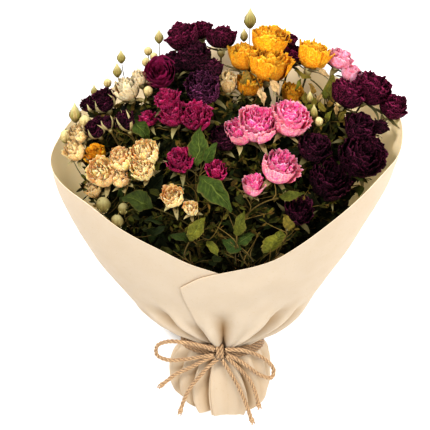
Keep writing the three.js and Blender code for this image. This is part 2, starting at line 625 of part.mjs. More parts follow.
  leaves: [{ seen: [199, 146], long: 33, wide: 19, points: 85 },
    { seen: [211, 153], long: 19, wide: 10, points: 60 },
    { seen: [217, 193], long: 42, wide: 22, points: -45, lift: 11 }] },
  { name: 'spray_leafy_front', filler: 0, heads: [],
    leaves: [{ seen: [278, 244], long: 30, wide: 23, points: 70 },
      { seen: [287, 224], long: 19, wide: 9, points: 100 },
      { seen: [232, 245], long: 20, wide: 12, points: 150 },
      { seen: [246, 240], long: 18, wide: 9, points: 40 },
      { seen: [293, 195], long: 20, wide: 9, points: 10, lift: 9 },
      { seen: [137, 202], long: 24, wide: 17, points: 160 }] },
];

// Stems

const FORK_PART = 0.62;
const BRANCH_RADIUS = 0.95;
const BUD_STEM_RADIUS = 0.6;
const STEMS_ABOVE_NECK = 42;
const CLEAR_BY = 0.6;
const BRANCHES_FROM = 0.8;
const BUD_LONG = 10.5;
const BUD_RADIUS = 3.3;
const SEPAL_LONG = 13;
const SEPAL_WIDE = 5;
const LEAF_OVER_DOME = 3;
const BUD_UNDER_DOME = 4;
const CALYX_REACH = 1.4;
const BUD_REACH = 2;

function leafPlaces(leaf) {
  const middle = seenAt(leaf.seen, domeNear(leaf.seen) + (leaf.lift ?? LEAF_OVER_DOME));
  const angle = THREE.MathUtils.degToRad(leaf.points);
  const reach = SIDE.clone().multiplyScalar(Math.cos(angle))
    .addScaledVector(SEEN_UP, Math.sin(angle)).addScaledVector(TO_EYE, 0.2).normalize();
  return {
    base: middle.clone().addScaledVector(reach, -leaf.long / 2),
    tip: middle.clone().addScaledVector(reach, leaf.long / 2),
  };
}

function budPlace(seen) {
  return seenAt(seen, domeNear(seen) - BUD_UNDER_DOME);
}

// What a spray carries, as the places its side stems have to reach.
function carried(spray) {
  return [
    ...spray.heads.map((head) => headFrame(head).base),
    ...(spray.buds ?? []).map(budPlace),
    ...(spray.leaves ?? []).map((leaf) => leafPlaces(leaf).base),
  ];
}

function forkOf(spray) {
  const places = carried(spray);
  const middle = places.reduce((sum, place) => sum.add(place), new THREE.Vector3())
    .multiplyScalar(1 / places.length);
  return NECK.clone().lerp(middle, FORK_PART);
}

// Slots of the stems in the neck: one in the middle and rings of 6 and 12 round it. The
// sprays that lean out furthest take the outer ring, each on its own side.
function neckSlots() {
  const leaning = SPRAYS.map((spray) => {
    const fork = forkOf(spray).sub(NECK);
    const along = fork.dot(AXIS);
    const across = fork.x / along;
    const ahead = fork.dot(FRONT) / along * 1.3;
    return { spray, lean: Math.hypot(across, ahead), turn: Math.atan2(ahead, across) };
  });
  leaning.sort((one, other) => one.lean - other.lean);
  const slots = new Map();
  const rings = [[leaning.slice(0, 1), 0], [leaning.slice(1, 6), 1], [leaning.slice(6), 2]];
  for (const [ring, reach] of rings) {
    ring.sort((one, other) => one.turn - other.turn);
    ring.forEach(({ spray }, index) => {
      const turn = ring[0].turn + index / ring.length * 2 * Math.PI;
      const radius = reach * STEM_SPACING;
      slots.set(spray.name, [radius * Math.cos(turn), radius * Math.sin(turn)]);
    });
  }
  return slots;
}

const SLOTS = neckSlots();
const taken = [];

// How far a new stem stays from the stems of the other sprays.
function clearance(curve, radius, owner) {
  const points = curve.getPoints(32);
  const box = new THREE.Box3().setFromPoints(points).expandByScalar(2 * STEM_RADIUS);
  let least = Infinity;
  for (const stem of taken) {
    if (stem.owner !== owner && box.intersectsBox(stem.box)) {
      for (const point of points) {
        for (const other of stem.points) {
          least = Math.min(least, point.distanceTo(other) - radius - stem.radius);
        }
      }
    }
  }
  return least;
}

function takeRoom(curve, radius, owner) {
  const points = curve.getPoints(60);
  taken.push({ points, radius, owner, box: new THREE.Box3().setFromPoints(points) });
}

function mainStem(spray) {
  const [across, ahead] = SLOTS.get(spray.name);
  const fork = forkOf(spray);
  const above = inBouquet(across * 1.7, STEMS_ABOVE_NECK, ahead * 1.7);
  above.lerp(NECK.clone().lerp(fork, STEMS_ABOVE_NECK / fork.distanceTo(NECK)), 0.5);
  return new THREE.CatmullRomCurve3([
    inBouquet(across * 1.15, STEM_FOOT, ahead * 1.1),
    inBouquet(across, -8, ahead),
    inBouquet(across, 6, ahead),
    above,
    fork.clone().lerp(above, 0.4),
    fork,
  ]);
}

// A side stem from the main stem to its end, bowed aside where another spray is in its way.
const BOWS = [0, 5, 9, 14, 20];

function sideStem(start, end, leaving, arriving, radius, owner) {
  const reach = start.distanceTo(end);
  const sideways = new THREE.Vector3().crossVectors(leaving, TO_EYE).normalize();
  let best = { clear: -Infinity };
  for (const bow of BOWS) {
    for (let sixth = 0; sixth < (bow > 0 ? 6 : 1); sixth += 1) {
      const angle = sixth * Math.PI / 3;
      const offset = sideways.clone().multiplyScalar(bow * Math.cos(angle))
        .addScaledVector(TO_EYE, bow * Math.sin(angle));
      const curve = new THREE.CubicBezierCurve3(start,
        start.clone().addScaledVector(leaving, 0.3 * reach).add(offset),
        end.clone().addScaledVector(arriving, -0.35 * reach).add(offset), end);
      const clear = Math.min(clearance(curve, radius, owner), CLEAR_BY);
      if (clear > best.clear) {
        best = { clear, curve };
      }
    }
    if (best.clear === CLEAR_BY) {
      break;
    }
  }
  return best.curve;
}

function sprayStems(spray) {
  const main = mainStem(spray);
  const name = spray.name;
  const random = randomFor(name);
  takeRoom(main, STEM_RADIUS, name);
  const steps = [0, 0.16, 0.24, 0.36, 0.6, 1];
  const profile = steps.map((part) => [part, STEM_RADIUS * (part < 0.3 ? 1 : 1.15 - 0.5 * part)]);
  const pieces = [(growth) => bentTube(main, profile, 5, growth)];
  const branch = (end, arriving, radius) => {
    const from = THREE.MathUtils.lerp(BRANCHES_FROM, 1, random());
    const start = main.getPoint(from);
    const curve = sideStem(start, end, main.getTangent(from), arriving, radius, name);
    takeRoom(curve, radius, name);
    return curve;
  };
  for (const head of spray.heads) {
    const { base, up } = headFrame(head);
    const cup = Math.min(4.2, 0.16 * head.wide + 0.4);
    const seat = base.clone().addScaledVector(up, -GAP);
    const curve = branch(seat, up, CALYX_REACH);
    const cupPart = 1 - 2.2 * cup / curve.getLength();
    const calyx = [[0, BRANCH_RADIUS], [0.5, BRANCH_RADIUS], [cupPart, BRANCH_RADIUS], [1, cup * 0.95]];
    pieces.push((growth) => bentTube(curve, calyx, 4, growth));
    for (let sepal = 0; sepal < (head.sepals ?? 0); sepal += 1) {
      pieces.push(sepalBlade(head, seat, sepal / head.sepals, cup));
    }
  }
  for (const seen of spray.buds ?? []) {
    const tip = budPlace(seen);
    const rise = AXIS.clone().addScaledVector(SEEN_UP, 0.4).normalize();
    const curve = branch(tip.clone().addScaledVector(rise, BUD_LONG / 2), rise, BUD_REACH);
    const budPart = 1 - BUD_LONG / curve.getLength();
    const bud = [[0, BUD_STEM_RADIUS], [0.5, BUD_STEM_RADIUS], [budPart, BUD_STEM_RADIUS],
      [budPart + 0.45 * (1 - budPart), BUD_RADIUS], [1, 0.4]];
    pieces.push((growth) => bentTube(curve, bud, 4, growth));
  }
  return { main, pieces };
}

function sepalBlade(head, seat, part, cup) {
  const { up, right, forward } = headFrame(head);
  const turn = 2 * Math.PI * part + 0.4;
  const out = right.clone().multiplyScalar(Math.cos(turn)).addScaledVector(forward, Math.sin(turn));
  const base = seat.clone().addScaledVector(up, -0.8 * cup).addScaledVector(out, 0.6 * cup);
  const tip = base.clone().addScaledVector(out, 0.8 * SEPAL_LONG).addScaledVector(up, -0.4 * SEPAL_LONG);
  return leafBlade(base, tip, SEPAL_WIDE, `${head.seen} sepal ${part}`, SEPAL_ROWS);
}

const PETIOLE = [[0, 0.8], [0.5, 0.8], [0.92, 0.9], [1, 0.9]];
const LONG_LEAF = 25;
const LEAVES_FROM = 0.72;
const LEAVES_TO = 0.98;
const FILLER_FROM = 0.55;
const FILLER_TO = 0.97;
const FILLER_UP = 14;
const FILLER_OUT = 17;
const FILLER_WIDE = 10;

function sprayLeaves(spray, main) {
  const random = randomFor(`${spray.name} leaves`);
  const pieces = [];
  for (const leaf of spray.leaves ?? []) {
    const { base, tip } = leafPlaces(leaf);
    const from = THREE.MathUtils.lerp(LEAVES_FROM, LEAVES_TO, random());
    const reach = tip.clone().sub(base).normalize();
    const curve = sideStem(main.getPoint(from), base, main.getTangent(from), reach, 1, spray.name);
    takeRoom(curve, 1, spray.name);
    pieces.push((growth) => bentTube(curve, PETIOLE, 3, growth));
    const rows = leaf.long > LONG_LEAF ? FINE_ROWS : PLAIN_ROWS;
    pieces.push(leafBlade(base, tip, leaf.wide, `${leaf.seen}`, rows));
  }
  for (let index = 0; index < spray.filler; index += 1) {
    const from = THREE.MathUtils.lerp(FILLER_FROM, FILLER_TO, (index + random()) / spray.filler);
    const turn = 2 * Math.PI * (index * 0.38 + random() * 0.2);
    const heading = main.getTangent(from);
    const base = main.getPoint(from);
    const out = new THREE.Vector3().crossVectors(heading, SEEN_UP).normalize();
    const over = new THREE.Vector3().crossVectors(out, heading);
    const tip = base.clone()
      .addScaledVector(heading, FILLER_UP + 6 * random())
      .addScaledVector(out, FILLER_OUT * Math.cos(turn))
      .addScaledVector(over, FILLER_OUT * Math.sin(turn));
    pieces.push(leafBlade(base, tip, FILLER_WIDE + 4 * random(), `${spray.name} ${index}`, FILLER_ROWS));
  }
  return pieces;
}

// Colours

const COLOURS = {
  paper: 0xEDD8B8,
  twine: 0xAF825A,
  green: 0x5F7038,
  burgundy: 0x4A1230,
  darkest: 0x2E0F26,
  magenta: 0x961E5A,
  yellow: 0xEBA51A,
  pink: 0xE06AA0,
  palePink: 0xE8A0B8,
  cream: 0xF0C896,
  ivory: 0xE1D2AF,
};

function named(name, solid, colour, roughness) {
  const material = new THREE.MeshStandardMaterial({ color: COLOURS[colour], roughness, metalness: 0 });
  const mesh = new THREE.Mesh(geometryOf(solid), material);
  mesh.name = name;
  return mesh;
}

// Assembly: each solid leaves room for the ones made before it

const bouquet = new THREE.Group();

const twineNames = Object.keys(TWINE_RUNS);
const twineTubes = twineNames.map(twineTube);
const twineRoom = fused(twineTubes, GAP);
const paperRoom = wasm.Manifold.union([0, 0.6, 1, 1.6].map((part) => paperWrap(part * GAP)));
const binding = largestBody(twineBinding(0).subtract(paperRoom).subtract(twineRoom));
const bindingRoom = twineBinding(GAP);
bouquet.add(named('paper_wrap', paperWrap(0), 'paper', 0.9));
bouquet.add(named('twine_binding', binding, 'twine', 0.9));
bouquet.add(named('twine_knot', largestBody(
  twineKnot(0).subtract(paperRoom).subtract(twineRoom).subtract(bindingRoom)), 'twine', 0.9));
twineNames.forEach((name, index) => {
  bouquet.add(named(name, twineTubes[index](0), 'twine', 0.9));
});

const stemmed = SPRAYS.map((spray) => ({ spray, ...sprayStems(spray) }));
const grown = stemmed.map(({ spray, main, pieces }) => (
  { spray, stems: pieces, leaves: sprayLeaves(spray, main) }));
const stemRooms = grown.map(({ stems }) => fused(stems, GAP));
const leafRooms = grown.map(({ leaves }) => fused(leaves, GAP));
const greens = grown.map(({ spray, stems, leaves }, index) => {
  const otherStems = stemRooms.filter((room, other) => other !== index);
  const ownStems = fused(stems, 0).subtract(wasm.Manifold.union([paperRoom, ...stemRooms.slice(0, index)]));
  const ownLeaves = fused(leaves, 0).subtract(
    wasm.Manifold.union([paperRoom, ...otherStems, ...leafRooms.slice(0, index)]));
  return { name: spray.name, whole: ownStems.add(ownLeaves) };
});
for (const { name, whole } of greens) {
  bouquet.add(named(name, largestBody(whole), 'green', 0.85));
}

const greenRoom = wasm.Manifold.union([paperRoom, ...stemRooms, ...leafRooms]);
const bunches = new Map();
for (const head of SPRAYS.flatMap((spray) => spray.heads)) {
  bunches.set(head.node, [...(bunches.get(head.node) ?? []), head]);
}
let bloomRoom = greenRoom;
for (const [name, heads] of bunches) {
  const pieces = heads.map(flowerHead);
  const whole = fused(pieces, 0).subtract(bloomRoom);
  bouquet.add(named(name, largestBody(whole), heads[0].colour, 0.85));
  bloomRoom = bloomRoom.add(fused(pieces, GAP));
}

export default bouquet;
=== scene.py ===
"""A mixed bouquet of dried spray roses in a paper wrap tied with a jute bow, lying on its back.

The layout is in millimetres, after the part's own named values; meshes are made in metres.
"""
import math

import bpy
import numpy as np
from mathutils import Matrix


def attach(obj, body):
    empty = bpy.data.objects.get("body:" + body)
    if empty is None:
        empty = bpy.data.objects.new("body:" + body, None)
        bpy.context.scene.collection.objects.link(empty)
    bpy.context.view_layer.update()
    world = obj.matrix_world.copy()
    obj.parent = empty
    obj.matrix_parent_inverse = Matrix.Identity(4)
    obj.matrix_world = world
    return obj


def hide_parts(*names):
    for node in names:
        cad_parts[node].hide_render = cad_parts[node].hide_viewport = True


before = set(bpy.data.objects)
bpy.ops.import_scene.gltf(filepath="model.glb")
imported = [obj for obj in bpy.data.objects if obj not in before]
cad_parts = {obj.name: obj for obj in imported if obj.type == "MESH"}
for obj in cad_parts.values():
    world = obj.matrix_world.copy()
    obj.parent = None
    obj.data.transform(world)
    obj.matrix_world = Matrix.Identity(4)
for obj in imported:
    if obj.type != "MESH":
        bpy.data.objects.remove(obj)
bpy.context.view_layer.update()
MM = 0.001

# Driving dimensions
AXIS_RISE = math.radians(20)
NECK_HEIGHT = 30
REST_ALONG_Y = 140
MM_PER_PIXEL = 0.85
LAP_LIFT = 2.0
TWINE_DIAMETER = 3.6
STEM_RADIUS = 2.5
STEM_SPACING = 5.4
STEM_FOOT = -44
GAP = 0.35

# Where the picture sees things from
NECK_SEEN = (222.5, 341)
PICTURE_MIDDLE = 215
PICTURE_WIDE = 430
EYE_DISTANCE = 1400
EYE_LEAN = math.radians(28)

SIDE = np.array([1.0, 0.0, 0.0])
AXIS = np.array([0.0, math.cos(AXIS_RISE), math.sin(AXIS_RISE)])
FRONT = np.array([0.0, -math.sin(AXIS_RISE), math.cos(AXIS_RISE)])
NECK = np.array([0.0, -REST_ALONG_Y, NECK_HEIGHT])
TO_EYE = AXIS * math.sin(EYE_LEAN) + FRONT * math.cos(EYE_LEAN)
SEEN_UP = AXIS * math.cos(EYE_LEAN) - FRONT * math.sin(EYE_LEAN)
PICTURE_CENTRE = (NECK
                  + SIDE * (PICTURE_MIDDLE - NECK_SEEN[0]) * MM_PER_PIXEL
                  + SEEN_UP * (NECK_SEEN[1] - PICTURE_MIDDLE) * MM_PER_PIXEL)


def unit(vector):
    return vector / np.linalg.norm(vector)


def mix(start, end, part):
    return start + (end - start) * part


def smooth_step(position, low, high):
    part = np.clip((position - low) / (high - low), 0.0, 1.0)
    return part * part * (3.0 - 2.0 * part)


def in_bouquet(across, along, ahead):
    """A place given by its distance across, along and in front of the bouquet's axis."""
    return NECK + SIDE * across + AXIS * along + FRONT * ahead


def seen_at(seen, near):
    """The place seen at a pixel, so many millimetres nearer than the neck's axis."""
    shrink = MM_PER_PIXEL * (1.0 - near / EYE_DISTANCE)
    return (PICTURE_CENTRE
            + SIDE * (seen[0] - PICTURE_MIDDLE) * shrink
            + SEEN_UP * (PICTURE_MIDDLE - seen[1]) * shrink
            + TO_EYE * near)


def pixel_of(place):
    """The pixel and the nearness at which a place is seen."""
    offset = place - PICTURE_CENTRE
    near = offset @ TO_EYE
    shrink = MM_PER_PIXEL * (1.0 - near / EYE_DISTANCE)
    return PICTURE_MIDDLE + (offset @ SIDE) / shrink, PICTURE_MIDDLE - (offset @ SEEN_UP) / shrink, near


# The flower heads lie on a dome that falls away to the back and to both sides.
DOME_BACK = 60
DOME_RISE = 84
DOME_RUN = 72
DOME_TOP_SEEN = 20
DOME_HALF_WIDTH = 150
DOME_SIDE_FALL = 42
DOME_FRONT_SEEN = 190
DOME_FRONT_RUN = 80
DOME_FRONT_FALL = 26


def dome_near(seen):
    """How near the dome of heads lies at a pixel."""
    run = max(0.0, seen[1] - DOME_TOP_SEEN) / DOME_RUN
    off_side = (seen[0] - NECK_SEEN[0]) * MM_PER_PIXEL / DOME_HALF_WIDTH
    past = max(0.0, seen[1] - DOME_FRONT_SEEN) / DOME_FRONT_RUN
    return (DOME_BACK + DOME_RISE * (1.0 - math.exp(-run))
            - DOME_SIDE_FALL * off_side * off_side - DOME_FRONT_FALL * past * past)


# Random numbers are mixed as whole numbers of 32 bits, by the constants of a common hash.
WHOLE = 0xFFFFFFFF


def random_for(name):
    """Seeded random numbers, one row of them for each name."""
    state = 2166136261
    for letter in name:
        state = ((state ^ ord(letter)) * 16777619) & WHOLE

    def draw():
        nonlocal state
        state = (state + 0x6D2B79F5) & WHOLE
        mixed = ((state ^ (state >> 15)) * (1 | state)) & WHOLE
        mixed = ((mixed + ((mixed ^ (mixed >> 7)) * (61 | mixed))) & WHOLE) ^ mixed
        return (mixed ^ (mixed >> 14)) / (WHOLE + 1)

    return draw


def generator_for(name):
    """A seeded generator of whole arrays of random numbers."""
    return np.random.default_rng(int(random_for(name)() * (WHOLE + 1)))


def smooth_value(pairs, position):
    """A smooth curve through (position, value) pairs."""
    places, values = np.array(pairs, float).T
    position = np.asarray(position, float)
    last = len(places) - 1
    end = np.clip(np.searchsorted(places, position), 1, last)
    start = end - 1
    before = np.maximum(end - 2, 0)
    after = np.minimum(end + 1, last)
    length = places[end] - places[start]
    part = np.clip((position - places[start]) / length, 0.0, 1.0)
    slope_in = (values[end] - values[before]) / (places[end] - places[before]) * length
    slope_out = (values[after] - values[start]) / (places[after] - places[start]) * length
    square = part * part
    cube = square * part
    return (values[start] * (2 * cube - 3 * square + 1) + slope_in * (cube - 2 * square + part)
            + values[end] * (3 * square - 2 * cube) + slope_out * (cube - square))


def lattice(cells, seed):
    """A repeatable number from -1 to 1 for each corner of a grid of cells."""
    mixed = (cells[..., 0] * 374761393 + cells[..., 1] * 668265263
             + cells[..., 2] * 974634777 + seed * 1442695041) & WHOLE
    mixed = ((mixed ^ (mixed >> 13)) * 1274126177) & WHOLE
    mixed = mixed ^ (mixed >> 16)
    return (mixed & 0xFFFF) / 32767.5 - 1.0


def crumple(points, size, seed):
    """Smooth random values, about -1 to 1, that change over a distance of one size."""
    scaled = points / size
    cell = np.floor(scaled).astype(np.int64)
    part = scaled - cell
    part = part * part * (3.0 - 2.0 * part)
    total = np.zeros(points.shape[:-1])
    for corner in range(8):
        step = np.array([corner & 1, corner >> 1 & 1, corner >> 2 & 1])
        weight = np.prod(np.where(step == 1, part, 1.0 - part), axis=-1)
        total += weight * lattice(cell + step, seed)
    return total


def crumple_offset(points, size, seed):
    return np.stack([crumple(points, size, seed + way) for way in range(3)], axis=-1)


# Curves


class SmoothCurve:
    """A centripetal Catmull-Rom curve through points."""

    def __init__(self, points):
        points = np.array(points, float)
        first = 2 * points[0] - points[1]
        last = 2 * points[-1] - points[-2]
        self.points = np.vstack([first, points, last])
        self.spans = len(points) - 1

    def at(self, parts):
        position = np.clip(np.atleast_1d(parts), 0.0, 1.0) * self.spans
        span = np.minimum(position.astype(int), self.spans - 1)
        weight = (position - span)[:, None]
        p0, p1, p2, p3 = (self.points[span + way] for way in range(4))
        step0 = np.sqrt(np.linalg.norm(p1 - p0, axis=1))[:, None]
        step1 = np.sqrt(np.linalg.norm(p2 - p1, axis=1))[:, None]
        step2 = np.sqrt(np.linalg.norm(p3 - p2, axis=1))[:, None]
        leave = ((p1 - p0) / step0 - (p2 - p0) / (step0 + step1) + (p2 - p1) / step1) * step1
        arrive = ((p2 - p1) / step1 - (p3 - p1) / (step1 + step2) + (p3 - p2) / step2) * step1
        square = 3 * (p2 - p1) - 2 * leave - arrive
        cube = 2 * (p1 - p2) + leave + arrive
        return p1 + weight * (leave + weight * (square + weight * cube))


class BentCurve:
    """A cubic curve from a start to an end, drawn aside by two middle points."""

    def __init__(self, start, middle1, middle2, end):
        self.points = [start, middle1, middle2, end]

    def at(self, parts):
        part = np.atleast_1d(parts)[:, None]
        rest = 1.0 - part
        start, middle1, middle2, end = self.points
        return (rest ** 3 * start + 3 * rest ** 2 * part * middle1
                + 3 * rest * part ** 2 * middle2 + part ** 3 * end)


def tangent_at(curve, part):
    ends = curve.at([max(0.0, part - 1e-4), min(1.0, part + 1e-4)])
    return unit(ends[1] - ends[0])


def length_of(curve):
    points = curve.at(np.linspace(0.0, 1.0, 201))
    return float(np.linalg.norm(np.diff(points, axis=0), axis=1).sum())


def run_along(points):
    """The length of a line of points up to each of them."""
    return np.concatenate([[0.0], np.cumsum(np.linalg.norm(np.diff(points, axis=0), axis=1))])


def even_points(curve, count):
    """Points spaced evenly along a curve."""
    points = curve.at(np.linspace(0.0, 1.0, 401))
    run = run_along(points)
    wanted = np.linspace(0.0, run[-1], count)
    return np.stack([np.interp(wanted, run, points[:, way]) for way in range(3)], axis=1)


def frames_along(points):
    """The tangent and two cross directions at each point, turning as little as they can."""
    tangents = np.gradient(points, axis=0)
    tangents /= np.linalg.norm(tangents, axis=1)[:, None]
    normals = np.empty_like(tangents)
    guide = np.array([1.0, 0.2, 0.3])
    for index, tangent in enumerate(tangents):
        guide = unit(guide - tangent * (guide @ tangent))
        normals[index] = guide
    return tangents, normals, np.cross(tangents, normals)


def round_angles(count):
    return np.linspace(0.0, 2 * math.pi, count, endpoint=False)


def rings_round(points, angles):
    """The directions square to a line of points, at each angle round each point."""
    _, normals, binormals = frames_along(points)
    return (normals[:, None] * np.cos(angles)[None, :, None]
            + binormals[:, None] * np.sin(angles)[None, :, None])


# Meshes


class Skin:
    """Grids of points gathered into one mesh, with four shading values at each point."""

    def __init__(self):
        self.points = []
        self.quads = []
        self.marks = []
        self.kinds = []
        self.count = 0

    def grid(self, points, marks, kind=0, closed=False):
        """Adds rows by columns of points; closed joins the last column to the first."""
        rows, columns = points.shape[:2]
        index = np.arange(rows * columns).reshape(rows, columns) + self.count
        if closed:
            index = np.hstack([index, index[:, :1]])
        quads = np.stack([index[:-1, :-1], index[:-1, 1:], index[1:, 1:], index[1:, :-1]], axis=-1)
        quads = quads.reshape(-1, 4)
        self.points.append(points.reshape(-1, 3))
        self.quads.append(quads)
        self.kinds.append(np.full(len(quads), kind))
        full = np.broadcast_to(np.asarray(marks, float), (rows, columns, 4))
        self.marks.append(full.reshape(-1, 4))
        self.count += rows * columns

    def made(self, name, materials, nodes, slot):
        """The mesh object, riding on the bouquet in place of its CAD nodes."""
        points = np.concatenate(self.points) * MM
        quads = np.concatenate(self.quads)
        mesh = bpy.data.meshes.new(name)
        mesh.vertices.add(len(points))
        mesh.vertices.foreach_set("co", points.astype(np.float32).ravel())
        mesh.loops.add(quads.size)
        mesh.loops.foreach_set("vertex_index", quads.astype(np.int32).ravel())
        mesh.polygons.add(len(quads))
        mesh.polygons.foreach_set("loop_start", np.arange(0, quads.size, 4, dtype=np.int32))
        mesh.polygons.foreach_set("use_smooth", np.ones(len(quads), bool))
        for material in materials:
            mesh.materials.append(material)
        mesh.polygons.foreach_set("material_index", np.concatenate(self.kinds).astype(np.int32))
        marks = mesh.attributes.new("marks", "FLOAT_COLOR", "POINT")
        marks.data.foreach_set("color", np.concatenate(self.marks).astype(np.float32).ravel())
        mesh.update(calc_edges=True)
        piece = bpy.data.objects.new(name, mesh)
        bpy.context.scene.collection.objects.link(piece)
        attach(piece, "root")
        if nodes:
            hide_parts(*nodes)
        return piece


def marks_for(rows, columns, *values):
    """The four shading values at each point of a grid, from single numbers or from arrays."""
    marks = np.empty((rows, columns, 4))
    for way, value in enumerate(values):
        marks[..., way] = value
    return marks


# The size of the lumps on an uneven tube, in millimetres.
TUBE_LUMP = 2.4


def add_tube(skin, points, radii, sides, marks, kind=0, rough=0.0, seed=0):
    """A round tube of the given radii along points, with an uneven surface."""
    points = np.asarray(points, float)
    ring = rings_round(points, round_angles(sides))
    radii = np.broadcast_to(np.asarray(radii, float), (len(points),))[:, None]
    if rough:
        surface = points[:, None] + ring * radii[..., None]
        radii = radii * (1.0 + rough * crumple(surface, TUBE_LUMP, seed))
    skin.grid(points[:, None] + ring * radii[..., None], marks, kind, closed=True)


# Materials


class Shader:
    """A node tree of one principled surface, whose tone is laid on in layers."""

    def __init__(self, name, tone, roughness, sheen=0.0, shine=0.3):
        self.tone = shade(*tone)
        self.material = bpy.data.materials.new(name)
        self.material.use_nodes = True
        self.tree = self.material.node_tree
        self.surface = self.tree.nodes["Principled BSDF"]
        self.surface.inputs["Roughness"].default_value = roughness
        self.surface.inputs["Specular IOR Level"].default_value = shine
        self.surface.inputs["Sheen Weight"].default_value = sheen
        self.place = self.tree.nodes.new("ShaderNodeTexCoord").outputs["Object"]
        marks = self.tree.nodes.new("ShaderNodeAttribute")
        marks.attribute_name = "marks"
        parts = self.tree.nodes.new("ShaderNodeSeparateColor")
        self.join(marks.outputs["Color"], parts.inputs[0])
        self.marks = (parts.outputs[0], parts.outputs[1], parts.outputs[2], marks.outputs["Alpha"])
        self.mark_colour = marks.outputs["Color"]

    def join(self, output, socket):
        self.tree.links.new(output, socket)

    def put(self, value, socket):
        if isinstance(value, bpy.types.NodeSocket):
            self.join(value, socket)
        else:
            socket.default_value = value

    def maths(self, operation, first, second=0.0, third=0.0):
        node = self.tree.nodes.new("ShaderNodeMath")
        node.operation = operation
        for value, socket in zip((first, second, third), node.inputs):
            self.put(value, socket)
        return node.outputs[0]

    def between(self, value, low, high, least=0.0, most=1.0):
        """Value as it runs from low to high, eased and turned into least to most."""
        node = self.tree.nodes.new("ShaderNodeMapRange")
        node.interpolation_type = "SMOOTHSTEP"
        self.put(value, node.inputs["Value"])
        for name, number in (("From Min", low), ("From Max", high), ("To Min", least), ("To Max", most)):
            node.inputs[name].default_value = number
        return node.outputs[0]

    def noise(self, size_mm, detail=3.0, rough=0.55, place=None, stretch=None):
        """Random values, 0 to 1, that change over so many millimetres."""
        node = self.tree.nodes.new("ShaderNodeTexNoise")
        where = self.place if place is None else place
        if stretch is not None:
            scale = self.tree.nodes.new("ShaderNodeMapping")
            scale.inputs["Scale"].default_value = stretch
            self.join(where, scale.inputs["Vector"])
            where = scale.outputs[0]
        self.join(where, node.inputs["Vector"])
        node.inputs["Scale"].default_value = 1.0 / (size_mm * MM) if place is None else 1.0 / size_mm
        node.inputs["Detail"].default_value = detail
        node.inputs["Roughness"].default_value = rough
        return node.outputs[0]

    def lines(self, size_mm, width):
        """A net of wrinkles about so far apart: 1 on its lines and 0 between them."""
        swing = self.maths("MULTIPLY_ADD", self.noise(size_mm, detail=2.0, rough=0.5), 2.0, -1.0)
        return self.between(self.maths("ABSOLUTE", swing), 0.0, width, 1.0, 0.0)

    def times(self, first, second):
        return self.maths("MULTIPLY", first, second)

    def plus(self, first, second):
        return self.maths("ADD", first, second)

    def minus(self, first, second):
        return self.maths("SUBTRACT", first, second)

    def larger(self, first, second):
        return self.maths("MAXIMUM", first, second)

    def blend(self, part, first, second):
        node = self.tree.nodes.new("ShaderNodeMix")
        node.data_type = "RGBA"
        self.put(part, node.inputs["Factor"])
        for value, socket in ((first, node.inputs[6]), (second, node.inputs[7])):
            self.put(value, socket)
        return node.outputs[2]

    def over(self, part, colour):
        """Lays a colour over the tone, as fully as the part says."""
        self.tone = self.blend(part, self.tone, shade(*colour))

    def dimmed(self, light, dark):
        """Painted shade: lets the tone show over a dark colour only as far as the light value says."""
        self.tone = self.blend(light, shade(*dark), self.tone)

    def lets_light_in(self, weight, reach, depth_mm):
        self.surface.inputs["Subsurface Weight"].default_value = weight
        self.surface.inputs["Subsurface Radius"].default_value = reach
        self.surface.inputs["Subsurface Scale"].default_value = depth_mm * MM

    def finished(self, height, depth_mm, strength):
        """The material in its tone, with bumps this deep."""
        bump = self.tree.nodes.new("ShaderNodeBump")
        bump.inputs["Strength"].default_value = strength
        bump.inputs["Distance"].default_value = depth_mm * MM
        self.join(height, bump.inputs["Height"])
        self.join(bump.outputs[0], self.surface.inputs["Normal"])
        self.join(self.tone, self.surface.inputs["Base Color"])
        return self.material


def shade(red, green, blue):
    """A colour given as it looks on a screen, 0 to 255."""
    def linear(value):
        value /= 255.0
        return value / 12.92 if value <= 0.04045 else ((value + 0.055) / 1.055) ** 2.4
    return (linear(red), linear(green), linear(blue), 1.0)


# Each colour of petal: its outer and inner tone, a darker tone for its mottle and veins and for the painted
# shade in its creases, the painted shade at its foot, and its paler rims with painted highlight on rims and
# crests;
# then how dark the painted shade at the foot is, how far the rims and highlights show, how it shines, and
# how much light it lets in.
PETAL_TONES = {
    "burgundy": ((48, 3, 21), (42, 3, 18), (12, 1, 5), (4, 0, 2), (186, 62, 112), 0.9, 0.5, 0.1, 0.3),
    "wine": ((176, 18, 92), (164, 16, 84), (112, 10, 56), (36, 3, 18), (190, 60, 124), 0.8, 0.7, 0.3, 0.3),
    "violet": ((44, 6, 29), (38, 5, 25), (18, 2, 12), (6, 1, 4), (176, 92, 140), 0.9, 0.6, 0.1, 0.4),
    "darkest": ((13, 3, 6), (11, 2, 5), (6, 1, 3), (3, 1, 2), (140, 56, 92), 0.9, 0.5, 0.1, 0.25),
    "magenta": ((194, 20, 92), (178, 13, 82), (104, 6, 48), (44, 3, 20), (236, 104, 152),
                0.9, 0.6, 0.15, 0.6),
    "yellow": ((232, 154, 2), (232, 152, 2), (206, 116, 1), (172, 88, 1), (252, 210, 76),
               0.7, 0.75, 0.25, 0.5),
    "pink": ((250, 166, 158), (250, 58, 146), (246, 70, 142), (214, 28, 102), (255, 204, 212),
             0.75, 0.8, 0.25, 0.6),
    "palePink": ((250, 168, 186), (246, 142, 168), (236, 124, 152), (204, 84, 116), (255, 222, 226),
                 0.6, 0.7, 0.25, 0.7),
    "cream": ((254, 206, 142), (254, 204, 136), (254, 184, 108), (246, 160, 86), (255, 230, 186),
              0.45, 0.75, 0.25, 0.75),
    "straw": ((238, 200, 138), (240, 206, 146), (210, 164, 96), (160, 114, 56), (254, 236, 196),
              0.7, 0.65, 0.2, 0.5),
    "ivory": ((244, 222, 178), (246, 228, 188), (222, 188, 132), (180, 134, 74), (254, 244, 214),
              0.7, 0.6, 0.25, 0.45),
}
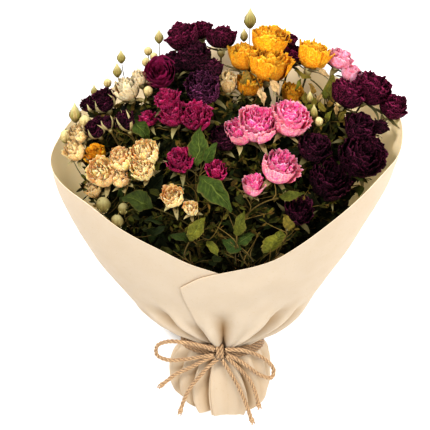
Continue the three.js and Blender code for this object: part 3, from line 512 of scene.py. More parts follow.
# Four of them share the slot of another colour, or have a plainer name there.
PETAL_SLOTS = {colour: f"petals_{colour}" for colour in PETAL_TONES}
PETAL_SLOTS["straw"] = "petals_ivory"
PETAL_SLOTS["palePink"] = "petals_pale_pink"
PETAL_SLOTS["wine"] = "petals_burgundy"
PETAL_SLOTS["violet"] = "petals_darkest"
# Veins fan out from a petal's foot: how close they are across it and along it, and how far the
# pattern moves on from petal to petal and from layer to layer.
VEINS_ACROSS = 9.0
VEINS_ALONG = 1.1
VEINS_DIFFER = 37.0
LAYERS_DIFFER = 23.0


def petal_material(colour):
    """Petals: marks hold the way to the rim, the way to the middle, a petal's own number, and side."""
    outer, inner, vein_and_shade_tone, foot, pale_rim_and_highlight_tone, foot_shade_part, rim_highlight_part, shine, light_in = PETAL_TONES[colour]
    shader = Shader(f"petals_{colour}", outer, roughness=0.78, shine=shine)
    shader.lets_light_in(light_in, (1.0, 0.7, 0.5), 2.5)
    to_rim, to_middle, own, side = shader.marks
    mottle = shader.noise(3.0, detail=4.0, rough=0.65)
    fan = shader.tree.nodes.new("ShaderNodeCombineXYZ")
    across = shader.maths("MULTIPLY_ADD", side, VEINS_ACROSS, shader.times(own, VEINS_DIFFER))
    along = shader.times(to_rim, VEINS_ALONG)
    for value, socket in zip((across, along, shader.times(to_middle, LAYERS_DIFFER)), fan.inputs):
        shader.join(value, socket)
    veins = shader.noise(0.5, detail=3.0, rough=0.6, place=fan.outputs[0])
    creases = shader.lines(2.4, 0.2)
    # Crests: a net of lines that the bump raises, painted paler below as painted highlight.
    crests = shader.lines(1.8, 0.13)
    frayed = shader.plus(to_rim, shader.times(shader.minus(mottle, 0.5), 0.3))
    # Paler rims, partly the petals' own paler edges and partly painted highlight, and painted highlight
    # along the crests, less on the inner layers.
    pale_rim_and_highlight = shader.larger(shader.between(frayed, 0.95, 1.01), shader.times(crests, 0.65))
    pale_rim_and_highlight = shader.times(pale_rim_and_highlight, shader.between(to_middle, 0.1, 0.9, 1.0, 0.6))
    shader.over(shader.between(to_middle, 0.02, 0.3), inner)
    shader.over(shader.between(mottle, 0.42, 0.66, 0.0, 0.9), vein_and_shade_tone)
    shader.over(shader.between(veins, 0.5, 0.72, 0.0, 0.55), vein_and_shade_tone)
    # Painted shade toward the foot of each petal, where the petals overlap.
    shader.over(shader.times(shader.between(to_rim, 0.2, 0.8, 1.0, 0.0), foot_shade_part), foot)
    # Painted shade in the creases, which the bump sinks.
    shader.over(shader.times(creases, 0.6), vein_and_shade_tone)
    shader.over(shader.times(pale_rim_and_highlight, rim_highlight_part), pale_rim_and_highlight_tone)
    value = shader.tree.nodes.new("ShaderNodeHueSaturation")
    shader.join(shader.tone, value.inputs["Color"])
    shader.join(shader.between(own, 0.0, 1.0, 0.66, 1.3), value.inputs["Value"])
    shader.tone = value.outputs[0]
    wrinkle = shader.plus(shader.noise(0.9, detail=3.0, rough=0.6), veins)
    return shader.finished(shader.plus(wrinkle, shader.minus(crests, creases)), 0.4, 0.8)


def paper_material():
    """Cream wrapping paper: marks hold which side faces in, painted lighter as painted light, and how deep
    in a fold the place is, painted browner as painted shade.
    """
    shader = Shader("wrapping_paper", (192, 174, 152), roughness=0.82)
    shader.lets_light_in(0.3, (1.0, 0.85, 0.65), 3.0)
    inside, folded = shader.marks[:2]
    cloud = shader.noise(16.0, detail=4.0)
    fibre = shader.noise(0.8, detail=4.0, rough=0.7)
    speck = shader.noise(1.6, detail=1.0)
    shader.over(shader.between(cloud, 0.3, 0.7, 0.0, 0.22), (180, 158, 130))
    shader.over(shader.between(speck, 0.66, 0.74, 0.0, 0.3), (176, 152, 118))
    # Painted shade browns the paper in its folds.
    shader.over(shader.times(folded, 0.9), (150, 118, 76))
    # Painted light: the lining is painted lighter than the outside, standing in for light passing through
    # the sheet; the cut edges take a little of it.
    shader.over(shader.times(inside, 0.95), (252, 222, 180))
    return shader.finished(shader.plus(fibre, shader.times(cloud, 2.0)), 0.12, 0.6)


def twine_material():
    """Jute: marks hold a place round and along the strand, and how much painted shade it takes, deep in a
    groove or all over where the rope is shaded.
    """
    shader = Shader("jute_twine", (132, 100, 66), roughness=0.9, sheen=0.2)
    groove_shade = shader.marks[3]
    streak = shader.noise(0.32, detail=4.0, rough=0.7, place=shader.mark_colour, stretch=(1.0, 1.0, 0.35))
    tuft = shader.noise(2.4, detail=2.0)
    shader.over(shader.between(streak, 0.34, 0.66), (206, 172, 132))
    shader.over(shader.between(tuft, 0.4, 0.75, 0.0, 0.45), (146, 110, 80))
    # Painted shade deep in the grooves between the strands.
    shader.over(shader.times(groove_shade, 0.7), (84, 60, 36))
    return shader.finished(streak, 0.3, 0.9)


def stem_material():
    """Dry stems: marks hold the way along, the stem's own number, and how much it is straw."""
    shader = Shader("dry_stem", (54, 48, 18), roughness=0.8, shine=0.12)
    along, own, straw, _ = shader.marks
    grain = shader.noise(1.1, detail=3.0, stretch=(1.0, 0.25, 1.0))
    shader.over(own, (88, 72, 36))
    shader.over(shader.between(grain, 0.35, 0.7, 0.0, 0.7), (42, 34, 12))
    shader.over(shader.between(along, 0.0, 0.9, 0.35, 0.0), (46, 36, 16))
    shader.over(straw, (116, 94, 48))
    return shader.finished(grain, 0.25, 0.8)


SIDE_VEINS = 8.0
VEIN_SLANT = 2.2


def leaf_material():
    """Leaves: marks hold the side, the way along, how dry the leaf is, and how much painted light it keeps.
    """
    shader = Shader("leaf", (54, 74, 24), roughness=0.7, shine=0.12)
    side, along, dry, light = shader.marks
    off_rib = shader.maths("ABSOLUTE", shader.maths("MULTIPLY_ADD", side, 2.0, -1.0))
    rib = shader.between(off_rib, 0.02, 0.1, 1.0, 0.0)
    wave = shader.minus(shader.times(along, SIDE_VEINS), shader.times(off_rib, VEIN_SLANT))
    ridge = shader.maths("PINGPONG", wave, 0.5)
    vein = shader.times(shader.between(ridge, 0.4, 0.5), 0.55)
    lines = shader.larger(rib, vein)
    mottle = shader.noise(4.5, detail=5.0, rough=0.68)
    shader.over(shader.between(dry, 0.0, 0.7), (108, 104, 32))
    shader.over(shader.between(dry, 0.65, 1.0), (140, 104, 46))
    shader.over(shader.between(dry, 1.05, 1.35), (206, 170, 122))
    shader.over(shader.between(mottle, 0.38, 0.66, 0.0, 0.5), (24, 34, 10))
    shader.over(shader.times(shader.lines(5.0, 0.2), 0.25), (22, 30, 8))
    shader.over(shader.between(ridge, 0.05, 0.3, 0.3, 0.0), (24, 34, 10))
    shader.over(shader.times(lines, 0.42), (120, 130, 62))
    shader.over(shader.between(off_rib, 0.84, 1.0, 0.0, 0.35), (120, 98, 52))
    # Painted shade: leaves are darkened toward near black as far as their light mark falls short.
    shader.dimmed(light, (3, 3, 0))
    return shader.finished(shader.minus(mottle, shader.times(lines, 0.8)), 0.7, 1.0)


def bud_material():
    """Buds and sepals: marks hold the way round, the way to the tip, how green, and how much painted light
    they keep.
    """
    shader = Shader("bud", (204, 182, 130), roughness=0.75, shine=0.2)
    around, to_tip, green, light = shader.marks
    stripe = shader.maths("PINGPONG", shader.times(around, 5.0), 0.5)
    mottle = shader.noise(1.6, detail=4.0, rough=0.65)
    shader.over(green, (132, 130, 66))
    shader.over(shader.between(stripe, 0.0, 0.2, 0.65, 0.0), (92, 74, 32))
    shader.over(shader.times(shader.lines(2.0, 0.25), 0.5), (122, 96, 48))
    shader.over(shader.between(mottle, 0.4, 0.7, 0.0, 0.6), (150, 118, 66))
    shader.over(shader.between(to_tip, 0.0, 0.4, 0.7, 0.0), (84, 70, 30))
    shader.over(shader.between(to_tip, 0.5, 1.0, 0.0, 0.6), (218, 208, 152))
    # Painted shade: the tone is darkened as far as the light mark falls short.
    shader.dimmed(light, (40, 36, 16))
    return shader.finished(mottle, 0.3, 0.8)


PAPER = paper_material()
TWINE = twine_material()
GREENS = [stem_material(), leaf_material(), bud_material()]
STEM, LEAF, BUD = range(3)
PETALS = {colour: petal_material(colour) for colour in PETAL_TONES}


# Camera, light and floor


def look_from(place, toward, up):
    """The matrix of a camera or lamp at a place, turned toward another."""
    ahead = unit(toward - place)
    right = unit(np.cross(ahead, up))
    turned = np.eye(4)
    turned[:3, :3] = np.stack([right, np.cross(right, ahead), -ahead], axis=1)
    turned[:3, 3] = place * MM
    return Matrix(turned.tolist())


SENSOR_WIDE = 36.0

camera_data = bpy.data.cameras.new("camera")
camera_data.sensor_width = SENSOR_WIDE
camera_data.lens = SENSOR_WIDE * EYE_DISTANCE / (PICTURE_WIDE * MM_PER_PIXEL)
camera = bpy.data.objects.new("camera", camera_data)
camera.matrix_world = look_from(PICTURE_CENTRE + TO_EYE * EYE_DISTANCE, PICTURE_CENTRE, SEEN_UP)
bpy.context.scene.collection.objects.link(camera)
bpy.context.scene.camera = camera


# Two lamps, by how far they stand beside and above the camera's own direction, size in mm, and watts.
LAMPS = {"key_light": (-0.42, 0.36, 300, 17), "fill_light": (0.6, -0.05, 1000, 16)}
LAMP_DISTANCE = 1500
SKY_STRENGTH = 0.82
FLOOR_HALF = 3.0
FLOOR_TONE = (0.95, 0.95, 0.95, 1.0)
FLOOR_ROUGHNESS = 0.9

for lamp_name, (aside, above, lamp_size, watts) in LAMPS.items():
    lamp = bpy.data.lights.new(lamp_name, "AREA")
    lamp.size = lamp_size * MM
    lamp.energy = watts
    holder = bpy.data.objects.new(lamp_name, lamp)
    stand = PICTURE_CENTRE + unit(TO_EYE + SIDE * aside + SEEN_UP * above) * LAMP_DISTANCE
    holder.matrix_world = look_from(stand, PICTURE_CENTRE, AXIS)
    bpy.context.scene.collection.objects.link(holder)

world = bpy.data.worlds.new("studio")
world.use_nodes = True
sky = world.node_tree.nodes["Background"]
sky.inputs["Color"].default_value = (1.0, 1.0, 1.0, 1.0)
sky.inputs["Strength"].default_value = SKY_STRENGTH
bpy.context.scene.world = world
bpy.context.scene.view_settings.view_transform = "Standard"
bpy.context.scene.view_settings.look = "Medium High Contrast"

floor_mesh = bpy.data.meshes.new("floor")
floor_corners = [(x * FLOOR_HALF, y * FLOOR_HALF, 0.0) for x, y in ((-1, -1), (1, -1), (1, 1), (-1, 1))]
floor_mesh.from_pydata(floor_corners, [], [(0, 1, 2, 3)])
floor = bpy.data.objects.new("floor", floor_mesh)
floor_paint = bpy.data.materials.new("floor_paint")
floor_paint.use_nodes = True
floor_surface = floor_paint.node_tree.nodes["Principled BSDF"]
floor_surface.inputs["Base Color"].default_value = FLOOR_TONE
floor_surface.inputs["Roughness"].default_value = FLOOR_ROUGHNESS
floor_mesh.materials.append(floor_paint)
bpy.context.scene.collection.objects.link(floor)


# Twine

# Each stretch of the bow as (pixel, nearness) along its middle, from the knot outward.
TWINE_RUNS = {
    "twine_loop_left": [((214, 349.8), 26.5), ((200, 345.5), 33), ((184, 342.5), 37), ((168, 341.5), 34),
                        ((157, 346), 26), ((157, 355), 21), ((168, 360), 17), ((184, 359.5), 17),
                        ((200, 357), 21), ((214, 354.8), 25)],
    "twine_loop_right": [((225.5, 349.5), 26), ((240, 350), 27), ((256, 354.5), 21), ((267, 361), 15),
                         ((273.5, 369.5), 10.5), ((271.5, 377.5), 8.5), ((262, 376), 11),
                         ((249, 367.5), 17.5), ((237, 359.5), 23), ((226.5, 355), 25.5)],
    "twine_end_1": [((214, 356), 24), ((200, 362.5), 18.5), ((187, 369), 12.5), ((176, 374), 8),
                    ((166, 381.5), 4), ((158, 387.5), 1)],
    "twine_end_2": [((217.6, 359), 24), ((208, 367), 19.5), ((199, 377), 14.5), ((190, 388), 9),
                    ((184, 400), 4.5), ((179, 415), 2)],
    "twine_end_3": [((225.6, 356.5), 24), ((238, 367.5), 19.5), ((249, 379.5), 14.5), ((255, 392), 8),
                    ((259.5, 409), 2)],
    "twine_end_4": [((221.8, 359.5), 24), ((230, 372.5), 19), ((238.5, 387), 13), ((245.5, 403), 6),
                    ((253, 424), -1)],
}
STRANDS = 3
STRAND_RADIUS = 0.85
STRAND_OFF_MIDDLE = 0.98
STRAND_SIDES = 9
STRAND_UNEVEN = 0.08
STRAND_STEP = 0.8
TWIST_LONG = 12.0
SPLAY_LONG = 4.0
HAIR_WIDE = 0.09
HAIRS_PER_MM = 0.9
HAIRS_AT_TIP = 10
HAIR_ROOT_OUT = 0.44 * TWINE_DIAMETER
SPLAY_OPENS = 0.7
SPLAY_THINS = 0.45
GROOVE_DEEP = 0.75
ROUTE_POINTS = 24

# The small knot near the tip of each hanging end.
END_KNOT_OFF_TIP = 5.5
END_KNOT_RADIUS = 1.75
END_KNOT_THICK = 0.75
END_KNOT_RISE = 1.3
END_KNOT_SWEEP = 2.6 * math.pi
END_KNOT_POINTS = 26


def add_hair(skin, root, heading, bend, long):
    """A loose fibre: a narrow strip of three points."""
    across = unit(np.cross(heading, bend)) * HAIR_WIDE / 2
    middle = root + heading * long * 0.5
    tip = root + heading * long * 0.85 + bend * long * 0.4
    line = np.stack([root, middle, tip])
    skin.grid(np.stack([line - across, line + across], axis=1), (0.3, 0.2, long, 0.0))


def groove_depth(points, middle, radii, around):
    """How deep in the grooves of the twine each place on a strand lies, from 0 outside to 1."""
    surface = middle[:, None] + rings_round(middle, around) * radii[:, None, None]
    off = np.linalg.norm(surface - points[:, None], axis=-1)
    return smooth_step(STRAND_OFF_MIDDLE + 0.9 * STRAND_RADIUS - off, 0.0, GROOVE_DEEP)


def add_rope(skin, fluff, points, name, loose_end=False, shaded=0.0):
    """Three strands laid up into twine along evenly spaced points, and its loose fibres in fluff."""
    points = np.asarray(points, float)
    tangents, normals, binormals = frames_along(points)
    run = run_along(points)
    generator = generator_for(name)
    splay = smooth_step(run, run[-1] - SPLAY_LONG, run[-1]) if loose_end else np.zeros(len(run))
    uneven = 1.0 + STRAND_UNEVEN * crumple(points, 5.0, 3)
    around = round_angles(STRAND_SIDES)
    for strand in range(STRANDS):
        angle = 2 * math.pi * (strand / STRANDS + run / TWIST_LONG)
        off = STRAND_OFF_MIDDLE * (1.0 + SPLAY_OPENS * splay)
        outward = normals * np.cos(angle)[:, None] + binormals * np.sin(angle)[:, None]
        middle = points + outward * off[:, None]
        radii = STRAND_RADIUS * uneven * (1.0 - SPLAY_THINS * splay)
        # Painted shade in the grooves, and over the whole rope as far as shaded says.
        groove_shade = mix(groove_depth(points, middle, radii, around), 1.0, shaded)
        marks = marks_for(len(points), STRAND_SIDES, 0.5 * np.cos(around), 0.5 * np.sin(around),
                          run[:, None] + 40.0 * strand, groove_shade)
        add_tube(skin, middle, radii, STRAND_SIDES, marks, rough=0.1, seed=11 + strand)
    for _ in range(int(run[-1] * HAIRS_PER_MM)):
        spot = generator.integers(2, len(points) - 2)
        angle = generator.uniform(0, 2 * math.pi)
        out = normals[spot] * math.cos(angle) + binormals[spot] * math.sin(angle)
        heading = unit(tangents[spot] * generator.uniform(-1, 1) + out * generator.uniform(0.3, 0.9))
        root = points[spot] + out * HAIR_ROOT_OUT
        add_hair(fluff, root, heading, out, generator.uniform(0.8, 2.2))
    if loose_end:
        for _ in range(HAIRS_AT_TIP):
            aside = normals[-1] * generator.normal() + binormals[-1] * generator.normal()
            heading = unit(tangents[-1] + 0.35 * aside)
            add_hair(fluff, points[-1] + 0.6 * aside, heading, aside, generator.uniform(0.8, 2.0))


def rope_points(curve):
    return even_points(curve, int(length_of(curve) / STRAND_STEP))


def add_end_knot(skin, points):
    """A short coil round a hanging end, just before it frays."""
    spot = len(points) - int(END_KNOT_OFF_TIP / STRAND_STEP)
    tangents, normals, binormals = frames_along(points)
    turns = np.linspace(0.0, END_KNOT_SWEEP, END_KNOT_POINTS)
    rise = np.linspace(-END_KNOT_RISE, END_KNOT_RISE, END_KNOT_POINTS)[:, None]
    out = normals[spot] * np.cos(turns)[:, None] + binormals[spot] * np.sin(turns)[:, None]
    coil = points[spot] + tangents[spot] * rise + END_KNOT_RADIUS * out
    add_tube(skin, coil, END_KNOT_THICK, 8, (0.3, 0.3, 5.0, 0.0), rough=0.15)


def add_run(name, knotted):
    """One stretch of the bow; a hanging end has a small knot just before it frays."""
    curve = SmoothCurve([seen_at(seen, near) for seen, near in TWINE_RUNS[name]])
    points = rope_points(curve)
    skin = Skin()
    fluff = Skin()
    add_rope(skin, fluff, points, name, loose_end=knotted)
    if knotted:
        add_end_knot(fluff, points)
    piece = skin.made(name.replace("twine", "jute"), [TWINE], [name], "twine")
    fibres = fluff.made(name.replace("twine", "fibres"), [TWINE], [], "twine")
    route = [tuple(point * MM) for point in even_points(curve, ROUTE_POINTS)]
    length_of(curve) * MM


for run_name in TWINE_RUNS:
    add_run(run_name, knotted="end" in run_name)


# Paper wrap

# Half-width of the sheet, and its depth before and behind the axis, along the bouquet.
HALF_WIDTH = [(-66, 29), (-60, 35), (-50, 41), (-38, 45.5), (-28, 46), (-18, 44), (-9, 40), (-5, 37),
              (-1, 33.5), (2, 29.8), (5.5, 30), (9.5, 35), (14, 44), (20, 58), (33, 75), (47, 83),
              (69, 97), (90, 109), (110, 118), (130, 126), (158, 135), (180, 139), (200, 141),
              (245, 143)]
FRONT_DEPTH = [(-62, 21), (-50, 22.5), (-30, 22.5), (-14, 20.5), (-5, 18.6), (0, 17.6), (5.5, 17.6),
               (10, 21), (19, 28), (33, 35), (69, 51), (110, 68), (158, 87), (200, 98), (245, 106)]
BACK_DEPTH = [(-62, 22), (-50, 25), (-30, 27), (-14, 22), (-5, 19), (1, 17.5), (5.5, 18), (10, 24),
              (19, 38), (33, 50), (69, 66), (110, 80), (158, 98), (200, 113), (245, 129)]

# How far in each side stands, along the bouquet: the sheet hangs closer on the right than on the left.
RIGHT_COMES_IN = [(-66, 0), (-55, 1), (-47, 3.5), (-28, 6.2), (-14, 4), (0, 0), (14, 5), (33, 9),
                  (69, 10.5), (100, 10), (130, 7), (160, 3), (190, 0)]
LEFT_COMES_IN = [(0, 0), (10, 6), (24, 8), (50, 5.5), (80, 3), (110, 0)]

# The sheet is followed from its hidden edge at the front, round the left side and the back,
# to its lapped edge at the front again; turns are in degrees, 0 at the front, + to the right.
HIDDEN_EDGE = 18
LAPPED_EDGE = -378
UPPER_RIM = [(-378, 86), (-374, 92), (-369, 99), (-363, 104), (-360, 106), (-342, 117), (-332, 131),
             (-318, 155), (-305, 174), (-296, 183), (-280, 188), (-273, 194), (-263, 201), (-204, 209),
             (-180, 221), (-150, 204), (-114, 182), (-103, 176), (-82, 171), (-65, 167), (-50, 160),
             (-38, 144), (-23, 127), (-13, 114), (-3, 105), (5, 96), (18, 78)]
LOWER_RIM = [(-180, -44), (-110, -42), (-85, -43), (-60, -51), (-45, -57), (-33, -61), (-22, -60),
             (-16, -61), (-8, -60), (0, -60), (27, -60.5), (36, -61), (52, -58), (66, -52), (85, -43),
             (110, -42), (180, -44)]

# Pleats above the twine: (turn at the neck, turn where it fades, its run up the cone, depth, and the
# half-width of the valley to its left and to its right). The steeper side carries the higher ridge.
PLEATS_ABOVE = [
    (1, -1, 58, 8.0, 4.0, 4.5),
    (-14, -18, 42, 6.0, 6.0, 4.0),
    (-20, -46, 56, 9.5, 9.0, 3.6),
    (-44, -70, 46, 7.0, 9.0, 5.0),
    (15, 42, 60, 9.5, 3.6, 9.0),
    (27, 66, 54, 9.0, 4.0, 9.0),
    (48, 84, 44, 7.0, 5.0, 9.0),
    (90, 96, 36, 8.0, 8.0, 8.0),
    (118, 116, 32, 6.5, 8.0, 8.0),
    (144, 142, 26, 5.0, 8.0, 8.0),
    (172, 170, 30, 4.5, 7.0, 7.0),
    (-158, -156, 26, 4.5, 7.0, 7.0),
    (-132, -132, 32, 6.0, 8.0, 8.0),
    (-108, -110, 28, 7.0, 8.0, 8.0),
    (-80, -92, 34, 8.0, 8.0, 8.0),
]
# Pleats below it, in the skirt: (turn at the neck, turn at the foot, depth, half-widths to left and right).
PLEATS_BELOW = [
    (-14.5, -19, 7.5, 6.0, 2.2),
    (-27, -39, 7.0, 7.0, 2.4),
    (-56, -62, 4.5, 9.0, 7.0),
    (1, 6, 1.4, 6.0, 5.0),
    (13, 34, 9.0, 2.8, 9.0),
    (38, 56, 3.5, 6.0, 7.0),
    (64, 76, 4.0, 7.0, 7.0),
    (92, 94, 4.5, 8.0, 8.0),
    (120, 118, 4.0, 8.0, 8.0),
    (150, 148, 3.0, 7.0, 7.0),
    (180, 180, 3.0, 7.0, 7.0),
    (-150, -150, 3.0, 7.0, 7.0),
    (-120, -118, 4.0, 8.0, 8.0),
    (-88, -90, 4.0, 8.0, 8.0),
]
BINDING_MIDDLE = 3.2
SKIRT_RUN = 50
RIDGE_PART = 0.26
RIDGE_OFF = 1.9
RIDGE_WIDE = 0.85
NECK_CORE = 13.9
PAPER_THICK = 0.5

# Turns between columns of points are narrow where the pleats are seen and wide behind.
SEEN_TURNS = 66
FINE_TURN = 0.8
COARSE_TURN = 2.6
ROWS_BELOW = 16
ROWS_AT_NECK = 26
ROWS_ABOVE = 18
NECK_FOOT = -9
NECK_TOP = 44

# Near the neck the lapped edge is drawn in by so many degrees. That fades out over so many degrees
# round the sheet, and over so many millimetres up the cone.
LAP_NARROWS = 7
LAP_TURNS = 30.0
LAP_STRAIGHT = 80

# Painted shade browns the paper in its folds, fully so at this depth in millimetres, and a little over the
# whole skirt.
FOLD_SHADE_DEPTH = 8.0
SKIRT_SHADE = 0.2
# The sheet billows above the neck, and is finely creased near it: size of the waves, and their height.
BROAD_BILLOW = (42.0, 1.0)
SMALL_BILLOW = (17.0, 0.5)
CREASES = (7.0, 0.25)
CREASED_WITHIN = 60.0
# The lining is marked to be painted lighter, as painted light, and the cut edges a little so.
LIT_LINING_MARKS = (1.0, 0.0, 0.0, 0.0)
LIT_EDGE_MARKS = (0.3, 0.0, 0.0, 0.0)


def sheet_lift(turn):
    """How far the sheet stands off, so that its lapped edge clears its hidden one."""
    return LAP_LIFT * smooth_step(-turn, 60.0, 300.0)


def wrapped(turn):
    """The same turn, from -180 to 180 degrees."""
    return (turn + 540.0) % 360.0 - 180.0


def fold(turn, middle, left, right, sharp):
    """A pleat's section: a valley, sharp or soft, with a ridge on each side."""
    off = wrapped(turn - middle)
    own, other = np.where(off < 0, left, right), np.where(off < 0, right, left)
    off = np.abs(off) / own
    ridge = 2.0 * RIDGE_PART * other / (own + other)
    return np.exp(-off ** sharp) - ridge * np.exp(-((off - RIDGE_OFF) / RIDGE_WIDE) ** 2)


def pleat_depth(turn, along):
    """How far the pleats pull the sheet toward the axis, and push it out between them."""
    total = np.zeros(np.broadcast(turn, along).shape)
    above = np.clip(along - BINDING_MIDDLE, 0.0, None)
    below = np.clip((BINDING_MIDDLE - along) / SKIRT_RUN, 0.0, 1.0)
    # Up the cone a pleat widens and softens, and it dies out at the end of its run.
    for neck_turn, top_turn, run_up, depth, left, right in PLEATS_ABOVE:
        up = np.clip(above / run_up, 0.0, 1.0)
        wide = 0.65 + 0.75 * up
        section = fold(turn, mix(neck_turn, top_turn, up), left * wide, right * wide, 1.2 + 0.8 * up)
        total += depth * (1.0 - smooth_step(up, 0.45, 1.0)) * section * (below < 0.02)
    # Down the skirt a pleat deepens at once, then widens and gets a little shallower.
    for neck_turn, foot_turn, depth, left, right in PLEATS_BELOW:
        wide = 0.9 + 0.4 * below
        section = fold(turn, mix(neck_turn, foot_turn, below), left * wide, right * wide, 1.3)
        total += depth * smooth_step(below, 0.0, 0.3) * (1.0 - 0.25 * below) * section
    return total


def sheet_depth(ahead, along):
    """The sheet's depth on the side of the axis that ahead lies on."""
    return np.where(ahead > 0, smooth_value(FRONT_DEPTH, along), smooth_value(BACK_DEPTH, along))


def coming_in(across, along):
    """How far in the sheet stands on the side of the axis that across lies on."""
    return np.where(across > 0, smooth_value(RIGHT_COMES_IN, along), smooth_value(LEFT_COMES_IN, along))


def sheet_middle(turn, along):
    """The middle of the sheet's thickness, before it billows."""
    angle = np.radians(turn)
    side_part = smooth_step(np.abs(np.sin(angle)), 0.0, 0.9)
    half = smooth_value(HALF_WIDTH, along)
    across = (half - coming_in(np.sin(angle), along) * side_part) * np.sin(angle)
    ahead = sheet_depth(np.cos(angle), along) * np.cos(angle)
    reach = np.hypot(across, ahead)
    pull = np.minimum(pleat_depth(turn, along), np.maximum(reach - NECK_CORE, 0.0))
    keep = 1.0 + (sheet_lift(turn) - pull) / reach
    return (NECK + SIDE * (across * keep)[..., None] + AXIS * along[..., None]
            + FRONT * (ahead * keep)[..., None])


def column_turns():
    """The turn of each column of points, from the lapped edge round to the hidden one."""
    turns = [LAPPED_EDGE]
    while turns[-1] < HIDDEN_EDGE:
        seen = abs(wrapped(turns[-1])) < SEEN_TURNS
        turns.append(min(HIDDEN_EDGE, turns[-1] + (FINE_TURN if seen else COARSE_TURN)))
    return np.array(turns)[None, :]


def row_heights(foot, top):
    """Heights of the rows of points, crowded round the neck."""
    below = mix(foot, NECK_FOOT, np.linspace(0.0, 1.0, ROWS_BELOW, endpoint=False)[:, None])
    neck = mix(NECK_FOOT, NECK_TOP, np.linspace(0.0, 1.0, ROWS_AT_NECK, endpoint=False)[:, None])
    above = mix(NECK_TOP, top, np.linspace(0.0, 1.0, ROWS_ABOVE)[:, None])
    return np.vstack([below, neck + np.zeros_like(top), above])


def add_paper():
    """The sheet, as an outside, a lining and the four narrow edges between them."""
    turn = column_turns()
    along = row_heights(smooth_value(LOWER_RIM, wrapped(turn)), smooth_value(UPPER_RIM, turn))
    top = along[-1]
    at_lap = smooth_step(LAPPED_EDGE + LAP_TURNS - turn, 0.0, LAP_TURNS)
    turn = turn + LAP_NARROWS * at_lap * (1.0 - smooth_step(along, 0.0, LAP_STRAIGHT))
    middle = sheet_middle(turn, along)
    normal = np.cross(np.gradient(middle, axis=1), np.gradient(middle, axis=0))
    normal /= np.linalg.norm(normal, axis=-1)[..., None]
    ease = smooth_step(along, 20.0, 60.0) * smooth_step(top - along, 0.0, 30.0)
    billow = (crumple(middle, BROAD_BILLOW[0], 21) * BROAD_BILLOW[1]
              + crumple(middle, SMALL_BILLOW[0], 22) * SMALL_BILLOW[1])
    near_neck = smooth_step(CREASED_WITHIN - np.abs(along), 0.0, 50.0)
    creased = CREASES[1] * crumple(middle, CREASES[0], 23) * near_neck
    middle = middle + normal * (billow * ease + creased)[..., None]
    outer = middle + normal * PAPER_THICK / 2
    inner = middle - normal * PAPER_THICK / 2
    outer[..., 2] = np.maximum(outer[..., 2], 0.0)
    inner[..., 2] = np.maximum(inner[..., 2], PAPER_THICK)
    # Painted shade in the folds and over the skirt, carried in the marks.
    fold_shade = np.clip(pleat_depth(turn, along) / FOLD_SHADE_DEPTH, 0.0, 1.0)
    fold_shade += SKIRT_SHADE * smooth_step(BINDING_MIDDLE - along, 0.0, 8.0) * (1.0 - fold_shade)
    skin = Skin()
    skin.grid(outer, marks_for(*fold_shade.shape, 0.0, fold_shade, 0.0, 0.0))
    skin.grid(inner[:, ::-1], LIT_LINING_MARKS)
    for edge in (np.s_[0], np.s_[-1], np.s_[:, 0], np.s_[:, -1]):
        skin.grid(np.stack([outer[edge], inner[edge]]), LIT_EDGE_MARKS)
    piece = skin.made("paper_sheet", [PAPER], ["paper_wrap"], "paper")


add_paper()

# The neck is bound with three turns, and a knot ties them down where the bow springs from.
BINDING_TURNS = 3.0
BINDING_POINTS = 260
BINDING_PITCH = 3.0
BINDING_OUT = 2.6
LAP_PRESSED = 0.8
KNOT_TOP = ((219.6, 344.5), 26)
KNOT_FOOT = ((219.8, 358.5), 24)
KNOT_POINTS = 14
KNOT_SWING = (-0.2, 1.2)
# Each turn of the knot: how far it stands aside, how it leans, and how far it bulges.
KNOT_TURNS = ((-1.6, 0.15, 1.6), (1.6, 0.1, 1.5))


def add_binding():
    """Twine wound round the neck."""
    turns = np.linspace(0.0, BINDING_TURNS, BINDING_POINTS)
    angle = 2 * math.pi * turns
    lift = LAP_LIFT * LAP_PRESSED + PAPER_THICK / 2 + BINDING_OUT
    half = smooth_value(HALF_WIDTH, BINDING_MIDDLE) + lift
    depth = smooth_value(FRONT_DEPTH, BINDING_MIDDLE) + lift
    along = BINDING_MIDDLE + (turns - BINDING_TURNS / 2) * BINDING_PITCH
    points = (NECK + SIDE * (half * np.sin(angle))[:, None] + AXIS * along[:, None]
              + FRONT * (depth * np.cos(angle))[:, None])
    skin = Skin()
    # The binding is painted partly in shade.
    add_rope(skin, skin, rope_points(SmoothCurve(points)), "binding", shaded=0.4)
    skin.made("jute_binding", [TWINE], ["twine_binding"], "twine")


def add_knot():
    """Two upright turns over the binding, side by side."""
    top = seen_at(*KNOT_TOP)
    foot = seen_at(*KNOT_FOOT)
    skin = Skin()
    swing = np.linspace(*KNOT_SWING, KNOT_POINTS) * math.pi
    rise = 0.5 - 0.5 * np.cos(swing)
    for aside, lean, out in KNOT_TURNS:
        points = (top + (foot - top) * mix(0.06, 0.94, rise)[:, None]
                  + TO_EYE * (out * np.sin(swing) - 0.6)[:, None]
                  + SIDE * (aside + lean * (2.0 * rise - 1.0) * 1.6)[:, None])
        # The knot is painted a little in shade.
        add_rope(skin, skin, rope_points(SmoothCurve(points)), f"knot {aside}", shaded=0.2)
    skin.made("jute_knot", [TWINE], ["twine_knot"], "twine")


add_binding()
add_knot()


# Layout: every head and bud, and each of the larger leaves, lies where the picture shows it


def rose(node, colour, seen, wide, **more):
    """A head's CAD node, colour, pixel and width in mm, and its habit where it differs from the rest:
    its lift off the dome, height for its width, lean, turn to the eye, or brightness."""
    return dict(node=f"bloom_{node}", colour=colour, seen=seen, wide=wide, **more)


def blade(seen, long, wide, points, dry, **more):
    """A leaf's pixel, its length and width in mm, the way it points in degrees, and how dry it is; a light
    below 1 paints it darker as painted shade.
    """
    return dict(seen=seen, long=long, wide=wide, points=points, dry=dry, **more)


